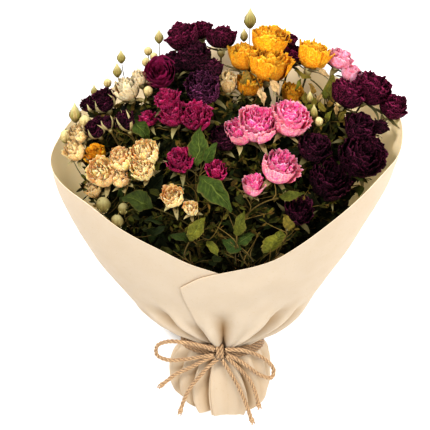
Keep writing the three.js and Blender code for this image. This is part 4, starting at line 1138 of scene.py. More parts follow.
DRY_BITS = ((299, 84), (306, 97), (312, 89), (319, 98), (325, 92), (322, 107), (331, 101), (337, 109),
            (309, 108), (343, 116), (316, 115), (301, 105), (328, 116), (313, 101), (335, 94))
SPRAYS = [
    dict(name="spray_burgundy_top", heads=[
        rose("burgundy_top", "burgundy", (183, 36), 27, lean=(-0.3, 0.1)),
        rose("burgundy_top", "burgundy", (201, 30), 18, lift=-5),
        rose("burgundy_stem", "burgundy", (221, 37), 24, face=0.1),
    ]),
    dict(name="spray_purple_back", heads=[
        rose("purple_back", "darkest", (194, 57), 28, lift=4),
        rose("purple_back", "darkest", (173, 63), 22, lift=-4),
        rose("purple_back", "darkest", (211, 69), 20, face=0),
        rose("purple_middle", "violet", (204, 89), 29, face=0.5),
    ]),
    dict(name="spray_magenta_upper", heads=[
        rose("burgundy_round", "wine", (160, 73), 26.5, face=0.75),
        rose("magenta_upper", "magenta", (168, 99), 20, lift=3),
        rose("magenta_upper", "magenta", (174, 114), 22),
        rose("magenta_upper", "magenta", (197, 117), 25, face=0.5),
        rose("magenta_dim", "magenta", (149, 119), 14, lift=-12),
    ]),
    dict(name="spray_burgundy_left", heads=[
        rose("burgundy_left", "darkest", (103, 101), 21),
        rose("burgundy_left", "darkest", (89, 104), 14),
        rose("dark_left", "darkest", (95, 129), 17),
        rose("dark_left", "darkest", (106, 123), 13, face=0),
        rose("dark_bud", "darkest", (125, 121), 15, tall=1, face=0),
    ]),
    dict(name="spray_ivory_top", heads=[
        rose("ivory_top", "ivory", (127, 89), 20, tall=0.9),
        rose("ivory_top", "ivory", (139, 78), 13, tall=0.9),
    ], buds=[(159, 37), (148, 49), (154, 55), (146, 60), (121, 57), (117, 71), (107, 81),
             (94, 90), (148, 90)]),
    dict(name="spray_ivory_left", heads=[
        rose("ivory_left", "straw", (75, 151), 17, tall=0.9),
        rose("ivory_left", "straw", (78, 134), 16, tall=0.9),
        rose("ivory_low", "straw", (93, 189), 14, tall=0.9, lift=-8),
    ], buds=[(75, 116), (85, 122), (66, 137), (103, 206), (123, 208), (117, 221)]),
    dict(name="spray_cream", heads=[
        rose("cream", "cream", (103, 173), 25, tall=0.85, face=0.5),
        rose("cream", "cream", (122, 160), 20, tall=0.9, face=0.4),
        rose("cream", "cream", (120, 178), 16, tall=0.9, lift=-4),
        rose("cream", "cream", (145, 153), 23, tall=0.85, face=0.4),
        rose("cream", "cream", (143, 169), 20, tall=0.9, face=0.5),
        rose("yellow_left", "yellow", (96, 155), 18, lift=-10),
    ]),
    dict(name="spray_cream_front", heads=[
        rose("cream_front", "cream", (173, 197), 19, face=0.5),
        rose("cream_small", "cream", (191, 209), 12, tall=1),
    ], leaves=[
        blade((196, 230), 22, 11, 60, 0.6, lift=9),
        blade((212, 248), 15, 7, -50, 0.5),
    ]),
    dict(name="spray_yellow", heads=[
        rose("yellow", "yellow", (245, 57), 27, face=0.2),
        rose("yellow", "yellow", (270, 42), 31, face=0.3, lift=8),
        rose("yellow", "yellow", (270, 66), 31.5, face=0.25),
        rose("yellow", "yellow", (250, 85), 22, lift=-12, tone=0.1),
        rose("ivory_back", "straw", (228, 82), 15, tall=1.15, tone=0.1, lift=-6),
    ], buds=[(250, 22), (244, 35)], leaves=[
        blade((262, 96), 14, 6, -75, 1.35, lift=0),
        blade((276, 87), 13, 6, -55, 1.3, lift=0),
        blade((245, 79), 14, 7, 80, 0.9, lift=-2),
    ]),
    dict(name="spray_yellow_right", heads=[
        rose("yellow_right", "yellow", (314, 56), 28.5, face=0.1),
        rose("yellow_dim", "yellow", (293, 94), 19, lift=-22, tone=0.0),
        rose("burgundy_back", "burgundy", (286, 41), 18, lift=-2),
        rose("burgundy_back", "burgundy", (292, 55), 22, lift=-12),
        rose("pale_pink", "palePink", (340, 59), 20),
        rose("pale_pink", "palePink", (351, 73), 17, lift=-4),
    ], leaves=[
        blade((323, 73), 13, 6, -40, 1.35, lift=0),
        blade((331, 88), 22, 9, 80, 0.75, lift=-8),
        blade((303, 75), 14, 5, 150, 0.8, lift=-6),
    ] + [
        blade(spot, 10, 5, 60 + 30 * (turn % 3), 0.6 + 0.2 * (turn % 4), lift=-10)
        for turn, spot in enumerate(DRY_BITS)
    ]),
    dict(name="spray_pink", heads=[
        rose("pink", "pink", (259, 125), 33, face=0.5, lean=(0, 0.15)),
        rose("pink", "pink", (240, 132), 24, lift=-5),
        rose("pink", "pink", (291, 119), 31, face=0.4, lean=(0.1, 0.2)),
    ], buds=[(314, 111), (319, 120), (340, 101), (310, 96)]),
    dict(name="spray_pink_low", heads=[
        rose("pink_low", "pink", (280, 167), 29, tall=0.8, tone=0.3, face=0.5, lean=(0.3, 0.3)),
        rose("pink_side", "pink", (254, 185), 17, tall=1, face=0, lift=-6),
    ], leaves=[
        blade((240, 224), 21, 10, 80, 0.45, light=0.8),
    ]),
    dict(name="spray_dark_right", heads=[
        rose("purple_right", "burgundy", (348, 94), 28, face=0.1),
        rose("purple_right", "burgundy", (372, 89), 31, face=0.3),
        rose("purple_right", "burgundy", (393, 107), 23),
        rose("purple_shade", "darkest", (361, 128), 28, face=0.4),
        rose("purple_shade", "darkest", (380, 127), 12, tall=1, face=0),
    ]),
    dict(name="spray_darkest", heads=[
        rose("darkest", "darkest", (361, 157), 37, face=0.5, lift=3),
        rose("darkest", "darkest", (330, 179), 37, face=0.5, lift=-8),
        rose("darkest_low", "darkest", (299, 211), 24, lift=-8),
        rose("dark_middle", "darkest", (314, 147), 26),
    ]),
    dict(name="spray_magenta_middle", heads=[
        rose("magenta_middle", "magenta", (181, 160), 22),
        rose("magenta_low", "magenta", (217, 171), 16, tall=1),
        rose("dark_behind", "darkest", (224, 138), 24, lift=-10),
    ], leaves=[
        blade((198, 147), 31, 15, 85, 0.15),
        blade((211, 153), 17, 10, 60, 0.1),
        blade((141, 131), 24, 13, -50, 0.15, lift=-9, light=0.9),
        blade((215, 193), 37, 18, -45, 0.15, lift=11, light=0.9),
    ]),
    dict(name="spray_leafy_front", heads=[], leaves=[
        blade((278, 246), 25, 27, 75, 0.55),
        blade((288, 223), 16, 8, 105, 0.8),
        blade((232, 245), 18, 11, 150, 0.0, light=0.65),
        blade((246, 240), 16, 8, 40, 0.1, light=0.8),
        blade((291, 196), 20, 8, 10, 0.4, lift=9, light=0.8),
        blade((138, 202), 24, 17, 160, 0.2, light=0.55),
    ]),
]


# Flower heads

HEAD_SPREAD = 0.8
SPREAD_FROM_V = 150
TURNED_TO_EYE = 0.3
HEAD_TALL = 0.74
LARGE_WIDE = 27
MIDDLE_WIDE = 17


def head_facing(head):
    """The way a head faces: outward from the bouquet, part of the way toward the eye."""
    across = (head["seen"][0] - NECK_SEEN[0]) * MM_PER_PIXEL / DOME_HALF_WIDTH
    ahead = (head["seen"][1] - SPREAD_FROM_V) * MM_PER_PIXEL / DOME_HALF_WIDTH
    outward = unit(AXIS + SIDE * HEAD_SPREAD * across + FRONT * HEAD_SPREAD * ahead)
    right, up = head.get("lean", (0, 0))
    toward = mix(outward, TO_EYE, head.get("face", TURNED_TO_EYE))
    return unit(toward + SIDE * right + SEEN_UP * up)


def head_frame(head):
    """The base of a head, the way it faces, its right and forward, and its height."""
    up = head_facing(head)
    middle = seen_at(head["seen"], dome_near(head["seen"]) + head.get("lift", 0))
    height = head["wide"] * head.get("tall", HEAD_TALL)
    right = unit(np.cross(SEEN_UP, up))
    return middle - up * 0.5 * height, up, right, np.cross(up, right), height


# How each colour of rose dries: petals in each layer from the outside in, how far up the rims of the
# outer, middle and inmost layers stand, the depth and length of the ruffles, how far the rims roll back,
# how crumpled the petals are, how closed the cup is, how much the petals differ in height, and for
# one colour how much lighter its petals are.
HABITS = {
    "burgundy": dict(layers=(4, 4, 5, 5, 5, 5, 4), rims=(0.76, 0.94, 0.9), ruffle=1.0, wave=6.0, roll=0.8,
                     crumpled=0.9, closed=0.04, uneven=0.08),
    "wine": dict(layers=(4, 4, 5, 5, 5, 5, 4), rims=(0.8, 0.96, 0.9), ruffle=0.5, wave=10.0, roll=0.5,
                 crumpled=0.6, closed=0.04, uneven=0.05),
    "violet": dict(layers=(5, 6, 6, 7, 6, 5, 4), rims=(0.74, 0.96, 0.96), ruffle=0.9, wave=4.4, roll=0.6,
                   crumpled=1.3, closed=0.1, uneven=0.07),
    "darkest": dict(layers=(4, 5, 6, 7, 7, 6, 4), rims=(0.74, 0.94, 0.95), ruffle=0.75, wave=6.0, roll=0.8,
                    crumpled=1.0, closed=0.08, uneven=0.07),
    "magenta": dict(layers=(4, 5, 5, 6, 6, 4), rims=(0.7, 0.94, 0.92), ruffle=1.2, wave=4.8, roll=0.9,
                    crumpled=1.3, closed=0.05, uneven=0.1),
    "yellow": dict(layers=(5, 6, 7, 7, 7, 6, 4), rims=(0.84, 0.98, 0.96), ruffle=0.85, wave=4.6, roll=0.9,
                   crumpled=1.35, closed=0.1, uneven=0.05),
    "pink": dict(layers=(4, 6, 8, 9, 9, 8, 5), rims=(0.7, 0.95, 0.97), ruffle=0.85, wave=4.2, roll=1.0,
                 crumpled=1.0, closed=0.06, uneven=0.05),
    "palePink": dict(layers=(4, 4, 5, 5, 5, 4), rims=(0.8, 0.95, 0.9), ruffle=0.8, wave=5.6, roll=0.7,
                     crumpled=0.8, closed=0.05, uneven=0.07),
    "cream": dict(layers=(5, 7, 8, 8, 7, 5, 4), rims=(0.82, 0.97, 1.0), ruffle=0.7, wave=4.0, roll=0.3,
                  crumpled=1.5, closed=0.3, uneven=0.06, lighter=0.22),
    "straw": dict(layers=(6, 8, 8, 7, 6, 5), rims=(0.8, 0.98, 1.0), ruffle=0.7, wave=3.6, roll=0.2,
                  crumpled=1.3, closed=0.36, uneven=0.05),
    "ivory": dict(layers=(6, 8, 9, 9, 8, 5), rims=(0.8, 0.98, 1.0), ruffle=0.8, wave=3.4, roll=0.2,
                  crumpled=1.3, closed=0.34, uneven=0.05),
}
HEAD_REACH = 0.88
HEAD_CLOSES = 0.76
RIMS_TURN = 0.4
PETALS_DIFFER = 0.35
HEAD_ROWS = {"large": 14, "middle": 12, "small": 10}
POINT_SPACING = 0.85
FEWEST_COLUMNS = 8
MOST_COLUMNS = 34
FOOT_PART = 0.12
BELLY_LOW = (0.94, -0.03)
BELLY_HIGH = (1.14, 0.5)
RIM_DROP = 0.14
RIM_ROUNDING = 2.8
RIM_JITTER = 0.007
FLARE = 0.12
LEAN_VARIES = 0.03
ROLLS_FROM = 0.82
ROLL_OUT = 1.5
ROLL_DOWN = 0.9
# Three sizes of crumpling, and how deep each goes.
BROAD_CRUMPLE = (5.0, 0.5)
CREASE_CRUMPLE = (2.8, 0.8)
FINE_CRUMPLE = (1.5, 0.2)
PETAL_OVERLAP = 1.42
TUCK = 0.075
SWIRL = 0.4
ROW_CROWDING = 1.4


def head_size(head):
    if head["wide"] > LARGE_WIDE:
        return "large"
    return "middle" if head["wide"] > MIDDLE_WIDE else "small"


def petal_points(turn, half_span, reach, rise, inward, habit, rows, columns, generator):
    """One dried petal in its head's own frame: across, forward and up from the head's base."""
    up = 1.0 - (1.0 - np.linspace(0.0, 1.0, rows)[:, None]) ** ROW_CROWDING
    side = np.linspace(-1.0, 1.0, columns)[None, :]
    phases = generator.uniform(0, 2 * math.pi, 7)
    skyline = (0.03 * np.sin(2.6 * side + phases[0]) + 0.02 * np.sin(7.0 * side + phases[1])
               + generator.normal(size=(1, columns)) * RIM_JITTER)
    run = up * (1.0 - RIM_DROP * np.abs(side) ** RIM_ROUNDING + skyline)
    rest = 1.0 - run
    flare = abs(generator.normal()) * FLARE * (1.0 - smooth_step(inward, 0.0, 0.3))
    lean = 1.0 + flare - habit["closed"] * (0.3 + 1.2 * inward) + generator.normal() * LEAN_VARIES
    radius = reach * (FOOT_PART * rest ** 3 + 3.0 * BELLY_LOW[0] * rest ** 2 * run
                      + 3.0 * BELLY_HIGH[0] * rest * run ** 2 + lean * run ** 3)
    height = rise * (3.0 * BELLY_LOW[1] * rest ** 2 * run + 3.0 * BELLY_HIGH[1] * rest * run ** 2
                     + run ** 3)
    radius = radius * (1.0 + TUCK * side)
    spread = half_span * (0.5 + 0.5 * np.sin(0.5 * math.pi * np.minimum(1.0, 1.6 * up)))
    bend = turn + side * spread + SWIRL * up * generator.uniform(0.2, 1.0)

    # Ruffles run along the free rim, and the rim rolls back.
    along_rim = side * half_span * max(reach, 3.0)
    free = smooth_step(up, mix(0.5, 0.15, inward), 1.0) ** 1.2
    depth = habit["ruffle"] * (0.55 + 0.035 * reach)
    wave = 2 * math.pi / habit["wave"]
    wander = 1.2 * np.sin(0.41 * wave * along_rim + phases[2])
    ruffle = (np.sin(wave * along_rim + phases[3] + wander + 0.8 * up)
              + 0.42 * np.sin(2.05 * wave * along_rim + phases[4]))
    lift = (np.cos(0.9 * wave * along_rim + phases[5] + wander)
            + 0.4 * np.cos(1.9 * wave * along_rim + phases[6]))
    radius = radius + depth * free * ruffle
    height = height + 0.5 * depth * free * lift
    rolled = smooth_step(run, ROLLS_FROM, 1.0) * habit["roll"] * (1.0 - 0.5 * inward)
    rolled = rolled * generator.uniform(0.4, 1.4)
    radius = radius + ROLL_OUT * rolled
    height = height - ROLL_DOWN * rolled * rolled
    points = np.stack([radius * np.cos(bend), radius * np.sin(bend), height + np.zeros_like(bend)], axis=-1)

    # Dry petals crumple all over, most toward the rim.
    place = points + generator.uniform(0, 900, 3)
    amount = habit["crumpled"] * (0.45 + 0.55 * up)[..., None]
    broad = BROAD_CRUMPLE[1] * crumple_offset(place, BROAD_CRUMPLE[0], 21)
    creases = CREASE_CRUMPLE[1] * (0.5 - np.abs(crumple_offset(place, CREASE_CRUMPLE[0], 31)))
    fine = FINE_CRUMPLE[1] * crumple_offset(place, FINE_CRUMPLE[0], 41)
    return points + amount * (broad + creases + fine)


def add_head(skin, head):
    """A rose: layers of petals from the outside in, fewer of them in the smaller heads."""
    base, up, right, forward, height = head_frame(head)
    habit = HABITS[head["colour"]]
    size = head_size(head)
    rows = HEAD_ROWS[size]
    layers = habit["layers"] if size == "large" else habit["layers"][:-2] + habit["layers"][-1:]
    if size == "small":
        layers = layers[:1] + layers[2:]
    generator = generator_for(f"{head['colour']} {head['seen']}")
    turn = generator.uniform(0, 2 * math.pi)
    tone = head.get("tone", generator.uniform(0.35, 0.65) + habit.get("lighter", 0.0))
    to_rim = 1.0 - (1.0 - np.linspace(0.0, 1.0, rows)[:, None]) ** ROW_CROWDING
    rims = list(zip((0, RIMS_TURN, 1), habit["rims"]))
    for layer, petals in enumerate(layers):
        inward = layer / (len(layers) - 1)
        reach = head["wide"] / 2 * (HEAD_REACH - HEAD_CLOSES * inward ** 0.85)
        rise = height * float(smooth_value(rims, inward))
        half_span = math.pi / petals * PETAL_OVERLAP
        columns = int(np.clip(2 * half_span * reach / POINT_SPACING, FEWEST_COLUMNS, MOST_COLUMNS))
        turn += math.pi / petals + generator.uniform(-0.25, 0.25)
        for petal in range(petals):
            own_turn = turn + 2 * math.pi * petal / petals + generator.normal() * 0.1
            own_reach = reach * generator.uniform(0.93, 1.04)
            own_rise = rise * (1.0 + habit["uneven"] * generator.normal())
            points = petal_points(own_turn, half_span, own_reach, own_rise, inward, habit, rows, columns,
                                  generator)
            own_tone = tone + PETALS_DIFFER * generator.uniform(-1.0, 1.0)
            marks = marks_for(rows, columns, to_rim, inward, own_tone, np.linspace(0.0, 1.0, columns))
            placed = base - right * points[..., :1] + forward * points[..., 1:2] + up * points[..., 2:]
            skin.grid(placed, marks)


# Leaves

LEAF_ROLL = 0.8
LEAF_TILT = 0.5
LEAST_FOLD = 0.15
FOLD_RANGE = 0.4
LEAST_ARCH = 0.06
ARCH_RANGE = 0.12
WIDEST_POWER = 0.85
TEETH_PER_MM = 0.55
TOOTH_DEEP = 0.14
LEAF_CRUMPLED = 1.7
LEAF_DROOP = 0.16
LEAF_WAVE = 0.07
WAVES_ON_LEAF = 2.2
LEAF_CURL = 0.28
# Greenery stays within this part of the sheet's room, and may spread again above the rim.
INSIDE_ROOM = 0.93
ROOM_OVER_RIM = 0.5
RIM_EASE = 14.0


def sheet_room(place):
    """Half-width, depth and height of the sheet round each place, and the place's own offsets."""
    offset = place - NECK
    across, along, ahead = offset @ SIDE, offset @ AXIS, offset @ FRONT
    half = smooth_value(HALF_WIDTH, along) - coming_in(across, along)
    turn = np.degrees(np.arctan2(across, ahead))
    top = smooth_value(UPPER_RIM, np.where(turn > HIDDEN_EDGE, turn - 360.0, turn))
    return across, along, ahead, half, sheet_depth(ahead, along), top


def kept_inside(points):
    """The same points, drawn toward the axis where they would pass through the sheet."""
    across, along, ahead, half, depth, top = sheet_room(points)
    out = np.hypot(across / half, ahead / depth)
    limit = np.where(along > NECK_TOP, INSIDE_ROOM, np.maximum(INSIDE_ROOM, out))
    limit = limit + ROOM_OVER_RIM * smooth_step(along - top, 0.0, RIM_EASE)
    keep = np.minimum(1.0, limit / np.maximum(out, 1e-6)) - 1.0
    return points + SIDE * (across * keep)[..., None] + FRONT * (ahead * keep)[..., None]


def add_leaf(skin, base, tip, wide, name, dry, light, rows=22, columns=13):
    """A toothed blade, folded along its midrib, arched along it and dried into waves."""
    draw = random_for(name)
    length = np.linalg.norm(tip - base)
    reach = unit(tip - base)
    face = TO_EYE + SIDE * LEAF_ROLL * (draw() - 0.5) + SEEN_UP * LEAF_TILT * draw()
    across = unit(np.cross(reach, face))
    over = unit(np.cross(across, reach))
    fold_slope = LEAST_FOLD + FOLD_RANGE * draw()
    arch = (LEAST_ARCH + ARCH_RANGE * draw()) * length
    part = np.linspace(0.0, 1.0, rows)[:, None]
    side = np.linspace(-1.0, 1.0, columns)[None, :]
    half = wide / 2 * np.maximum(np.sin(math.pi * part ** WIDEST_POWER), 0.02)
    tooth = (part * length * TEETH_PER_MM) % 1.0 - 0.5
    out = side * half * (1.0 + TOOTH_DEEP * tooth * np.abs(side) ** 5)
    phase = 6.0 * draw()
    ripple = np.sin(WAVES_ON_LEAF * 2 * math.pi * part + phase + 1.2 * np.sign(side))
    wave = LEAF_WAVE * wide * ripple * side * side
    curl = -LEAF_CURL * np.abs(side) ** 3 * half * (0.3 + draw())
    droop = -LEAF_DROOP * length * part ** 3 * (0.3 + draw())
    height = arch * np.sin(math.pi * part) + fold_slope * np.abs(out) + wave + curl + droop
    points = (base + reach * (part * length)[..., None] + across * out[..., None]
              + over * (height + np.zeros_like(out))[..., None])
    crumpled = crumple_offset(points, 6.5, 51) + 0.5 * crumple_offset(points, 2.8, 54)
    marks = marks_for(rows, columns, 0.5 + 0.5 * side, part, dry, light)
    skin.grid(kept_inside(points + LEAF_CRUMPLED * crumpled), marks, LEAF)


LEAFLET_PARTS = np.array([0.0, 0.38, 0.74, 1.0])
LEAFLET_WIDTHS = np.array([0.1, 1.0, 0.72, 0.05])
LEAFLET_FOLD = 0.35


def add_leaflet(skin, base, reach, face, long, wide, dry, light, curl):
    """A small leaf of the fine foliage, four rows of three points, pinched at both ends."""
    across = unit(np.cross(reach, face))
    over = np.cross(across, reach)
    part = LEAFLET_PARTS[:, None]
    half = wide / 2 * LEAFLET_WIDTHS[:, None]
    side = np.array([-1.0, 0.0, 1.0])[None, :]
    height = curl * long * part ** 2 + LEAFLET_FOLD * half * np.abs(side)
    points = (base + reach * part[..., None] * long + across * (side * half)[..., None]
              + over * height[..., None])
    marks = marks_for(4, 3, 0.5 + 0.5 * side, part, dry, light)
    skin.grid(kept_inside(points), marks, LEAF)


# Stems

FORK_PART = 0.62
BRANCH_RADIUS = 0.95
BUD_STEM_RADIUS = 0.5
STEMS_ABOVE_NECK = 42
CLEAR_BY = 0.6
BRANCHES_FROM = 0.8
BUD_LONG = 10.5
BUD_RADIUS = 3.3
LEAF_OVER_DOME = 3
LEAF_TIP_FORWARD = 0.2
BUD_UNDER_DOME = 4
CALYX_REACH = 1.4
BUD_REACH = 2
LEAVES_FROM = 0.72
LEAVES_TO = 0.98
BOWS = (0, 5, 9, 14, 20)
BOW_ANGLES = 6
LEAN_AHEAD_COUNTS = 1.3
SPREAD_ABOVE_NECK = 1.7
STEM_UPRIGHT = (-8, 6)
LEAVES_STRAIGHT = 0.3
ARRIVES_STRAIGHT = 0.35


def leaf_places(leaf):
    middle = seen_at(leaf["seen"], dome_near(leaf["seen"]) + leaf.get("lift", LEAF_OVER_DOME))
    angle = math.radians(leaf["points"])
    reach = unit(SIDE * math.cos(angle) + SEEN_UP * math.sin(angle) + TO_EYE * LEAF_TIP_FORWARD)
    return middle - reach * leaf["long"] / 2, middle + reach * leaf["long"] / 2


def bud_place(seen):
    return seen_at(seen, dome_near(seen) - BUD_UNDER_DOME)


def fork_of(spray):
    """Where a spray's main stem ends, on the way to the middle of all that it carries."""
    places = [head_frame(head)[0] for head in spray["heads"]]
    places += [bud_place(seen) for seen in spray.get("buds", [])]
    places += [leaf_places(leaf)[0] for leaf in spray.get("leaves", [])]
    return mix(NECK, np.mean(places, axis=0), FORK_PART)


def neck_slots():
    """The stems' places in the neck: one in the middle and rings of 5 and 10 round it."""
    leaning = []
    for spray in SPRAYS:
        fork = fork_of(spray) - NECK
        across = fork @ SIDE / (fork @ AXIS)
        ahead = fork @ FRONT / (fork @ AXIS) * LEAN_AHEAD_COUNTS
        leaning.append((math.hypot(across, ahead), math.atan2(ahead, across), spray["name"]))
    leaning.sort()
    slots = {}
    for ring, reach in ((leaning[:1], 0), (leaning[1:6], 1), (leaning[6:], 2)):
        ring.sort(key=lambda lean: lean[1])
        for index, (_, _, name) in enumerate(ring):
            turn = ring[0][1] + index / len(ring) * 2 * math.pi
            radius = reach * STEM_SPACING
            slots[name] = (radius * math.cos(turn), radius * math.sin(turn))
    return slots


SLOTS = neck_slots()
taken = []


def clearance(curve, radius, owner):
    """How far a new stem stays from the stems of the other sprays."""
    points = curve.at(np.linspace(0.0, 1.0, 33))
    low = points.min(axis=0) - 2 * STEM_RADIUS
    high = points.max(axis=0) + 2 * STEM_RADIUS
    least = math.inf
    for others, other_radius, other_owner, other_low, other_high in taken:
        if other_owner != owner and (low <= other_high).all() and (other_low <= high).all():
            gaps = np.linalg.norm(points[:, None] - others[None], axis=-1)
            least = min(least, gaps.min() - radius - other_radius)
    return least


def take_room(curve, radius, owner):
    """Remembers a stem's place, so that later ones keep clear of it."""
    points = curve.at(np.linspace(0.0, 1.0, 61))
    taken.append((points, radius, owner, points.min(axis=0), points.max(axis=0)))


def main_stem(spray):
    across, ahead = SLOTS[spray["name"]]
    fork = fork_of(spray)
    straight = mix(NECK, fork, STEMS_ABOVE_NECK / np.linalg.norm(fork - NECK))
    spread = in_bouquet(across * SPREAD_ABOVE_NECK, STEMS_ABOVE_NECK, ahead * SPREAD_ABOVE_NECK)
    above = mix(spread, straight, 0.5)
    below, over = STEM_UPRIGHT
    return SmoothCurve([
        in_bouquet(across * 1.15, STEM_FOOT, ahead * 1.1),
        in_bouquet(across, below, ahead),
        in_bouquet(across, over, ahead),
        above,
        mix(fork, above, 0.4),
        fork,
    ])


def side_stem(start, end, leaving, arriving, radius, owner):
    """A side stem from the main stem to its end, bowed aside where another spray is in its way."""
    reach = np.linalg.norm(end - start)
    sideways = unit(np.cross(leaving, TO_EYE))
    best_clear, best_curve = -math.inf, None
    for bow in BOWS:
        for way in range(BOW_ANGLES if bow > 0 else 1):
            angle = way * math.pi / (BOW_ANGLES / 2)
            offset = sideways * bow * math.cos(angle) + TO_EYE * bow * math.sin(angle)
            curve = BentCurve(start, start + leaving * LEAVES_STRAIGHT * reach + offset,
                              end - arriving * ARRIVES_STRAIGHT * reach + offset, end)
            clear = min(clearance(curve, radius, owner), CLEAR_BY)
            if clear > best_clear:
                best_clear, best_curve = clear, curve
        if best_clear == CLEAR_BY:
            break
    return best_curve


STEM_POINT_SPACING = 3.0


def add_stem(skin, curve, start_radius, end_radius, sides, name):
    count = max(6, int(length_of(curve) / STEM_POINT_SPACING))
    points = kept_inside(even_points(curve, count))
    marks = marks_for(count, 1, np.linspace(0.0, 1.0, count)[:, None], random_for(name)(), 0.0, 0.0)
    radii = np.linspace(start_radius, end_radius, count)
    add_tube(skin, points, radii, sides, marks, STEM, rough=0.22, seed=61)


SEPALS = 5
SEPAL_ROWS = 9
CALYX_ROWS = 8
CALYX_SIDES = 9
WIDEST_CUP = 3.2
CALYX_LONG = 2.2
SEPAL_LONG = (0.5, 0.75)
WIDEST_SEPAL = 5.0
SEPAL_SWING = 0.16
SEPAL_TROUGH = 0.35
CALYX_PROFILE = [(0.0, 0.4), (0.2, 0.75), (0.5, 1.0), (0.8, 0.98), (1.0, 0.8)]
# Heads whose sepals still hug the petals, and colours whose sepals dry pale.
HUGGED = ("bloom_dark_bud", "bloom_dark_left", "bloom_burgundy_left")
PAPERY = ("yellow", "cream", "ivory", "straw", "pink")


def sepal_path(head, height, cup, long, generator):
    """A sepal's line as distances out from the head's middle and up from its seat."""
    wide = head["wide"]
    if head["node"] in HUGGED:
        return [(0.7 * cup, -0.6 * cup), (0.42 * wide, 0.18 * height), (0.54 * wide, 0.6 * height),
                (0.40 * wide, generator.uniform(0.9, 1.15) * height)]
    fall = generator.uniform(-0.5, 0.35)
    return [(0.6 * cup, -0.7 * cup), (cup + 0.3 * long, -0.2 * cup),
            (cup + 0.7 * long, fall * 0.4 * long), (cup + 0.9 * long, fall * long)]


def add_sepal(skin, head, seat, cup, turn, generator):
    _, up, right, forward, height = head_frame(head)
    out = right * math.cos(turn) + forward * math.sin(turn)
    along = np.cross(up, out)
    long = head["wide"] * generator.uniform(*SEPAL_LONG)
    path = sepal_path(head, height, cup, long, generator)
    spine = even_points(SmoothCurve([seat + out * x + up * y for x, y in path]), SEPAL_ROWS)
    part = np.linspace(0.0, 1.0, SEPAL_ROWS)[:, None]
    spine = spine + along * (generator.normal() * SEPAL_SWING * long * part ** 2)
    widest = min(WIDEST_SEPAL, 0.2 * head["wide"] + 0.6)
    half = 0.5 * widest * np.sin(math.pi * (0.22 + 0.78 * part) ** 0.9)
    side = np.array([-1.0, -0.5, 0.0, 0.5, 1.0])[None]
    lift = np.cross(np.gradient(spine, axis=0), along)
    lift /= np.linalg.norm(lift, axis=1)[:, None]
    points = (spine[:, None] + along * (side * half)[..., None]
              + lift[:, None] * (SEPAL_TROUGH * half * side ** 2)[..., None])
    papery = head["colour"] in PAPERY
    hugging = head["node"] in HUGGED
    green = generator.uniform(0.0, 0.5) if papery or hugging else generator.uniform(0.5, 1.0)
    # The light value paints each sepal darker as painted shade, green ones more than papery ones.
    light = generator.uniform(0.35, 0.6) if papery else generator.uniform(0.1, 0.45)
    marks = marks_for(SEPAL_ROWS, 5, 0.1, 0.4 + 0.6 * part, green, light + 0.3 * hugging)
    skin.grid(points + 0.3 * crumple_offset(points, 2.0, 81), marks, BUD)


def add_calyx(skin, head, seat):
    """The swelling below a head, and the sepals round it."""
    up = head_frame(head)[1]
    cup = min(WIDEST_CUP, 0.12 * head["wide"] + 0.4)
    parts = np.linspace(0.0, 1.0, CALYX_ROWS)
    points = seat + up * ((parts - 1.0) * CALYX_LONG * cup)[:, None]
    radii = cup * smooth_value(CALYX_PROFILE, parts)
    marks = marks_for(CALYX_ROWS, 1, 0.0, 0.3 + 0.7 * parts[:, None], 0.75, 0.85)
    add_tube(skin, points, radii, CALYX_SIDES, marks, BUD, rough=0.12, seed=71)
    generator = generator_for(f"calyx {head['seen']}")
    for sepal in range(SEPALS):
        turn = 2 * math.pi * sepal / SEPALS + generator.uniform(-0.3, 0.3)
        add_sepal(skin, head, seat, cup, turn, generator)


# The two kinds of bud: profile, length and girth beside the usual, ribs, lumps, and reach of the sepals.
BUD_SHAPES = {
    "pointed": dict(profile=[(0.0, 0.25), (0.12, 0.62), (0.3, 0.98), (0.45, 1.0), (0.65, 0.72),
                             (0.82, 0.34), (1.0, 0.06)],
                    long=1.12, girth=0.98, ribs=0.07, lumps=0.22, sepals=1.0),
    "round": dict(profile=[(0.0, 0.3), (0.1, 0.66), (0.3, 0.97), (0.5, 1.05), (0.7, 0.96),
                           (0.88, 0.62), (1.0, 0.15)],
                  long=0.82, girth=1.1, ribs=0.03, lumps=0.5, sepals=0.45),
}
ROUND_BUDS = ((148, 49), (154, 55), (146, 60), (107, 81), (148, 90), (66, 137), (103, 206), (123, 208),
              (117, 221), (319, 120), (340, 101), (85, 122))
# How large some of the buds grew beside the others.
BUD_GROWTH = {(250, 22): 1.42, (244, 35): 0.9, (75, 116): 1.35, (85, 122): 1.3, (66, 137): 1.35,
              (103, 206): 1.5, (123, 208): 1.1, (117, 221): 1.25, (314, 111): 0.9, (319, 120): 0.9,
              (310, 96): 0.8, (340, 101): 0.8, (148, 49): 0.85, (154, 55): 0.85, (146, 60): 0.85,
              (107, 81): 0.85, (121, 57): 0.95, (94, 90): 0.8}
SHADED_BUDS_FROM_V = 190
BUD_ROWS = 15
BUD_SIDES = 15
BUD_SEPAL_ROWS = 8
BUD_SEPAL_WIDE = 0.9
BUD_SEPAL_OVER = 1.12
BUD_SEPAL_OFF = 0.15
BUD_SEPAL_TROUGH = 0.25


